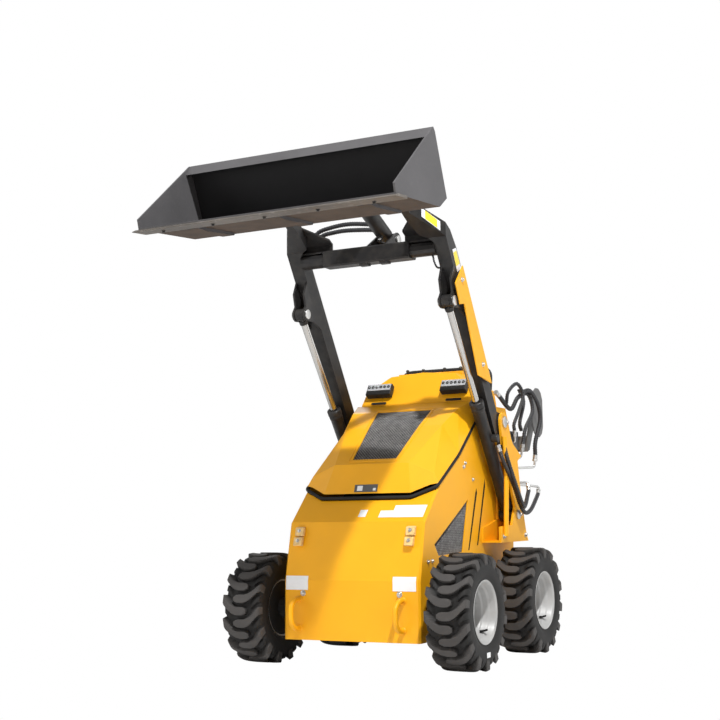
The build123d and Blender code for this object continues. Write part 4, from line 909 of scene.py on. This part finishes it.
# work lamps: a finned black case, a bright strip of six reflectors behind glass
lamps = {"places": {"left": 0.136, "right": -0.274}, "low": (0.5876, 1.276), "width": 0.138,
        "up": (0, 0.547, 0.837), "out": (0, -0.837, 0.547), "share": 0.94, "glassHeight": 0.038, "reflectors": 6,
        # the case's outline in the side view: distances up and out
        "case": ((0, 0), (0.066, 0), (0.066, -0.03), (0.042, -0.0355), (0, -0.0355)),
        "bowl": ((-0.002, 0.0078), (0.0004, 0.0078), (0.0024, 0.0074), (0.0024, 0.0066), (0.0016, 0.0058),
            (0.0004, 0.0022), (0.0004, 0.0)),
        "core": ((-0.001, 0.0024), (0.0012, 0.0022), (0.002, 0.0012), (0.0022, 0.0)),
        "fins": (0.003, 0.019, 4), "finRadius": 0.0016,
        "foot": ((0.592, 1.224), (0.6, 1.236), (0.626, 1.236), (0.626, 1.224)), "footShift": 0.03, "footWidth": 0.08}
upSlope, outwards = np.array(lamps["up"]), np.array(lamps["out"])
wide = np.array((lamps["width"], 0, 0))
for side, x in lamps["places"].items():
    low = spot(x, *lamps["low"])
    rim = low + upSlope * 0.024 + wide * (1 - lamps["share"]) / 2
    across, rise = wide * lamps["share"], upSlope * lamps["glassHeight"]
    middles = [rim + across * (k + 0.5) / lamps["reflectors"] + rise / 2 + outwards * 0.0036
        for k in range(lamps["reflectors"])]
    edges = [low + upSlope * level + wide * 0.04 for level in np.linspace(*lamps["fins"])]
    prism("lamp_case_" + side, [low + upSlope * up + outwards * out for up, out in lamps["case"]], wide, "plastic",
        "frame", 0.004, replaced=("work_lamps",) if side == "left" else ())
    prism("lamp_glass_" + side, [rim, rim + across, rim + across + rise, rim + rise], outwards * 0.0035,
        "lamp glass", "frame", 0.0015)
    for kind, parts, finish in (
            ("bowls", [turned(middle, outwards, lamps["bowl"], 24) for middle in middles], "plastic"),
            ("cores", [turned(middle, outwards, lamps["core"], 16) for middle in middles], "reflector"),
            ("fins", [tube([edge, edge + wide * 0.92], lamps["finRadius"], 8) for edge in edges], "plastic")):
        keep("lamp_" + kind + "_" + side, parts, "frame", finish)
    prism("lamp_foot_" + side, [spot(x + lamps["footShift"], y, z) for y, z in lamps["foot"]],
        (lamps["footWidth"], 0, 0), "plastic", "frame", 0.002)

# control levers: a ribbed boot, a stem and a moulded knob each
levers = {"places": (-0.15, -0.06, 0.06, 0.15), "stem": 0.004, "ribs": 9,
        "knob": ((-0.002, 0.0), (-0.002, 0.0055), (0.002, 0.0065), (0.006, 0.0085), (0.01, 0.009),
            (0.014, 0.008), (0.0165, 0.005), (0.0175, 0.0))}
# every second rib stands out by 2.2 mm, and all draw in with height
ribs = [(0.002 + 0.001 * k, 0.0165 - 0.0011 * k + 0.0022 * (k % 2)) for k in range(levers["ribs"])]
boots, stems, knobs = [], [], []
for x in levers["places"]:
    boots.append(turned(spot(x, 0.832, 1.391), (0, 0.1, 1), [(0.0, 0.018), *ribs, (0.011, 0.0)], 28))
    stems.append(tube([spot(x, 0.8335, 1.394), spot(x, 0.838, 1.408)], levers["stem"], 16))
    knobs.append(turned(spot(x, 0.838, 1.402), (0, 0.2, 1), smoothLine(levers["knob"], 26), 28))
keep("lever_boots", boots, "frame", "seal", ("control_levers",))
keep("lever_stems", stems, "frame", "steel")
keep("lever_knobs", knobs, "frame", "knob", angle=60)
print("stage: lamps and levers done")

# bolts on the body: (y, z) places on the sides and towers, (x, z) places on the nose and the rear cover
bodyBolts = {
    "side": ((0.413, 0.907), (0.394, 0.889), (0.504, 0.832), (-0.032, 0.465), (0.012, 0.467)), "sideX": 0.338,
    "tower": ((0.64, 0.56), (0.94, 0.56)), "towerX": 0.436,
    "rear": ((0.3, 0.2), (0.3, 0.6), (0.3, 1.0)), "rearY": 1.0305,
    "pads": ((0.556, 0), (0.6, 0.004)), "padX": 0.278, "padRise": 0.257, "padLean": 0.06, "padLow": 0.385,
}
rows = [(spot(hand * bodyBolts["sideX"], y, z), (hand, 0, 0), 0.0065)
    for y, z in bodyBolts["side"] for hand in (1, -1)]
rows += [(spot(hand * 0.24, -0.1225, 0.328), (0, -1, 0.02), 0.009) for hand in (1, -1)]
# square to the leaning pads, forwards
padOut = unit((0, -bodyBolts["padRise"], bodyBolts["padLean"]))
for hand in (1, -1):
    for z, shift in bodyBolts["pads"]:
        y = -0.122 + bodyBolts["padLean"] * (z - bodyBolts["padLow"]) / bodyBolts["padRise"]
        rows.append((spot(hand * bodyBolts["padX"] + shift, y, z) + padOut * 0.0215, padOut, 0.0062))
for hand in (1, -1):
    rows += [(spot(hand * bodyBolts["towerX"], y, z), (hand, 0, 0), 0.0085) for y, z in bodyBolts["tower"]]
    rows += [(spot(hand * x, bodyBolts["rearY"], z), (0, 1, 0), 0.006) for x, z in bodyBolts["rear"]]
bolts("body_bolts", rows, "frame")
bolts("arm_bolts", [(spot(0.438, y, z), (1, 0, 0), 0.008) for y, z in ((0.19, 1.74), (0.42, 1.37))], "arms")
edgeDown = np.array((0, 0.085, -0.996))
bolts("edge_bolts", [(spot(x, -0.828, 1.8825) + edgeDown * 0.0005, edgeDown, 0.006)
        for x in np.linspace(-0.5, 0.5, 5)], "bucket_group", "black")


# how far forward the nose stands at a height, along straight runs
def noseY(z):
    return np.interp(z, (0.122, 0.385, 0.642), (-0.128, -0.122, -0.062))


# how far forward the leaning brow stands at a height
def browY(z):
    return -0.062 + (z - 0.642) / 0.96


# tie-down rings on the nose, each with two weld collars
ties = {"x": 0.257, "radius": 0.0118, "welds": (0.302, 0.174),
        "line": ((-0.118, 0.302), (-0.165, 0.3), (-0.198, 0.276), (-0.205, 0.238), (-0.198, 0.2),
            (-0.165, 0.176), (-0.119, 0.174)),
        "collar": ((0, 0), (0, 0.0165), (0.003, 0.0165), (0.007, 0.0122), (0.007, 0))}
hooks = []
for x in (ties["x"], -ties["x"]):
    hooks.append(tube(smoothLine([spot(x, y, z) for y, z in ties["line"]], 60), ties["radius"], 24))
    for z in ties["welds"]:
        hooks.append(turned(spot(x, noseY(z) + 0.0005, z), (0, -1, 0), bevelled(ties["collar"], 0.001), 28))
keep("tie_rings", hooks, "frame", "yellow", ("tie_hooks",))


# rows of points of a label between two values of x, at the given (y, z)
def patch(xs, places):
    return [[(x, y, z) for x in xs] for y, z in places]


def onNose(xs, *heights):
    return patch(xs, [(noseY(z), z) for z in heights])


def onBrow(xs, *heights):
    return patch(xs, [(browY(z), z) for z in heights])


labels = {
    # name: finish, body, lift off the face, rows of points
    "nose_right": ("label", "frame", 0.0009, onNose((-0.328, -0.214), 0.342, 0.385, 0.404)),
    "nose_left": ("label", "frame", 0.0009, onNose((0.208, 0.32), 0.342, 0.385, 0.404)),
    "brow_small": ("label", "frame", 0.0007, onBrow((0.0, 0.037), 0.663, 0.694)),
    "brow_low": ("label", "frame", 0.0007, onBrow((0.103, 0.166), 0.66, 0.6895)),
    "brow_high": ("label", "frame", 0.0007, onBrow((0.1661, 0.322), 0.66, 0.7125)),
    "hood": ("dark steel", "hood_lid", 0.0007, patch((-0.066, 0.052), ((0.0525, 0.776), (0.0655, 0.81)))),
    "hood_patch": ("label", "hood_lid", 0.0013, patch((-0.052, -0.024), ((0.0545, 0.7814), (0.0632, 0.8042)))),
    "hood_mark": ("label", "hood_lid", 0.0013, patch((0.03, 0.044), ((0.0545, 0.7814), (0.059, 0.7932)))),
    "arm_tip": ("label", "arms", 0.0012, (((0.402, 0.034, 1.944), (0.402, 0.034, 1.987)),
        ((0.35, -0.054, 1.998), (0.35, -0.054, 2.038)))),
    "arm": ("label", "arms", 0.0012, (((0.418, 0.181, 1.776), (0.418, 0.228, 1.8)),
        ((0.418, 0.129, 1.873), (0.418, 0.171, 1.888)))),
    "arm_tip_yellow": ("label yellow", "arms", 0.002, (((0.3935, 0.019, 1.956), (0.3935, 0.019, 1.992)),
        ((0.36, -0.037, 1.99), (0.36, -0.037, 2.028)))),
    "arm_yellow": ("label yellow", "arms", 0.002, (((0.418, 0.168, 1.8), (0.418, 0.21, 1.822)),
        ((0.418, 0.138, 1.86), (0.418, 0.172, 1.876)))),
    "tyre": ("label", "wheel_front_left", 0.0, (((0.5985, -0.022, 0.062), (0.5985, 0.018, 0.062)),
        ((0.5985, -0.022, 0.084), (0.5985, 0.018, 0.084)))),
}
for name, (finish, body, lift, rows) in labels.items():
    sticker("label_" + name, [[spot(*point) for point in row] for row in rows], finish, body, lift)
print("stage: bolts and labels done")

low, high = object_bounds()
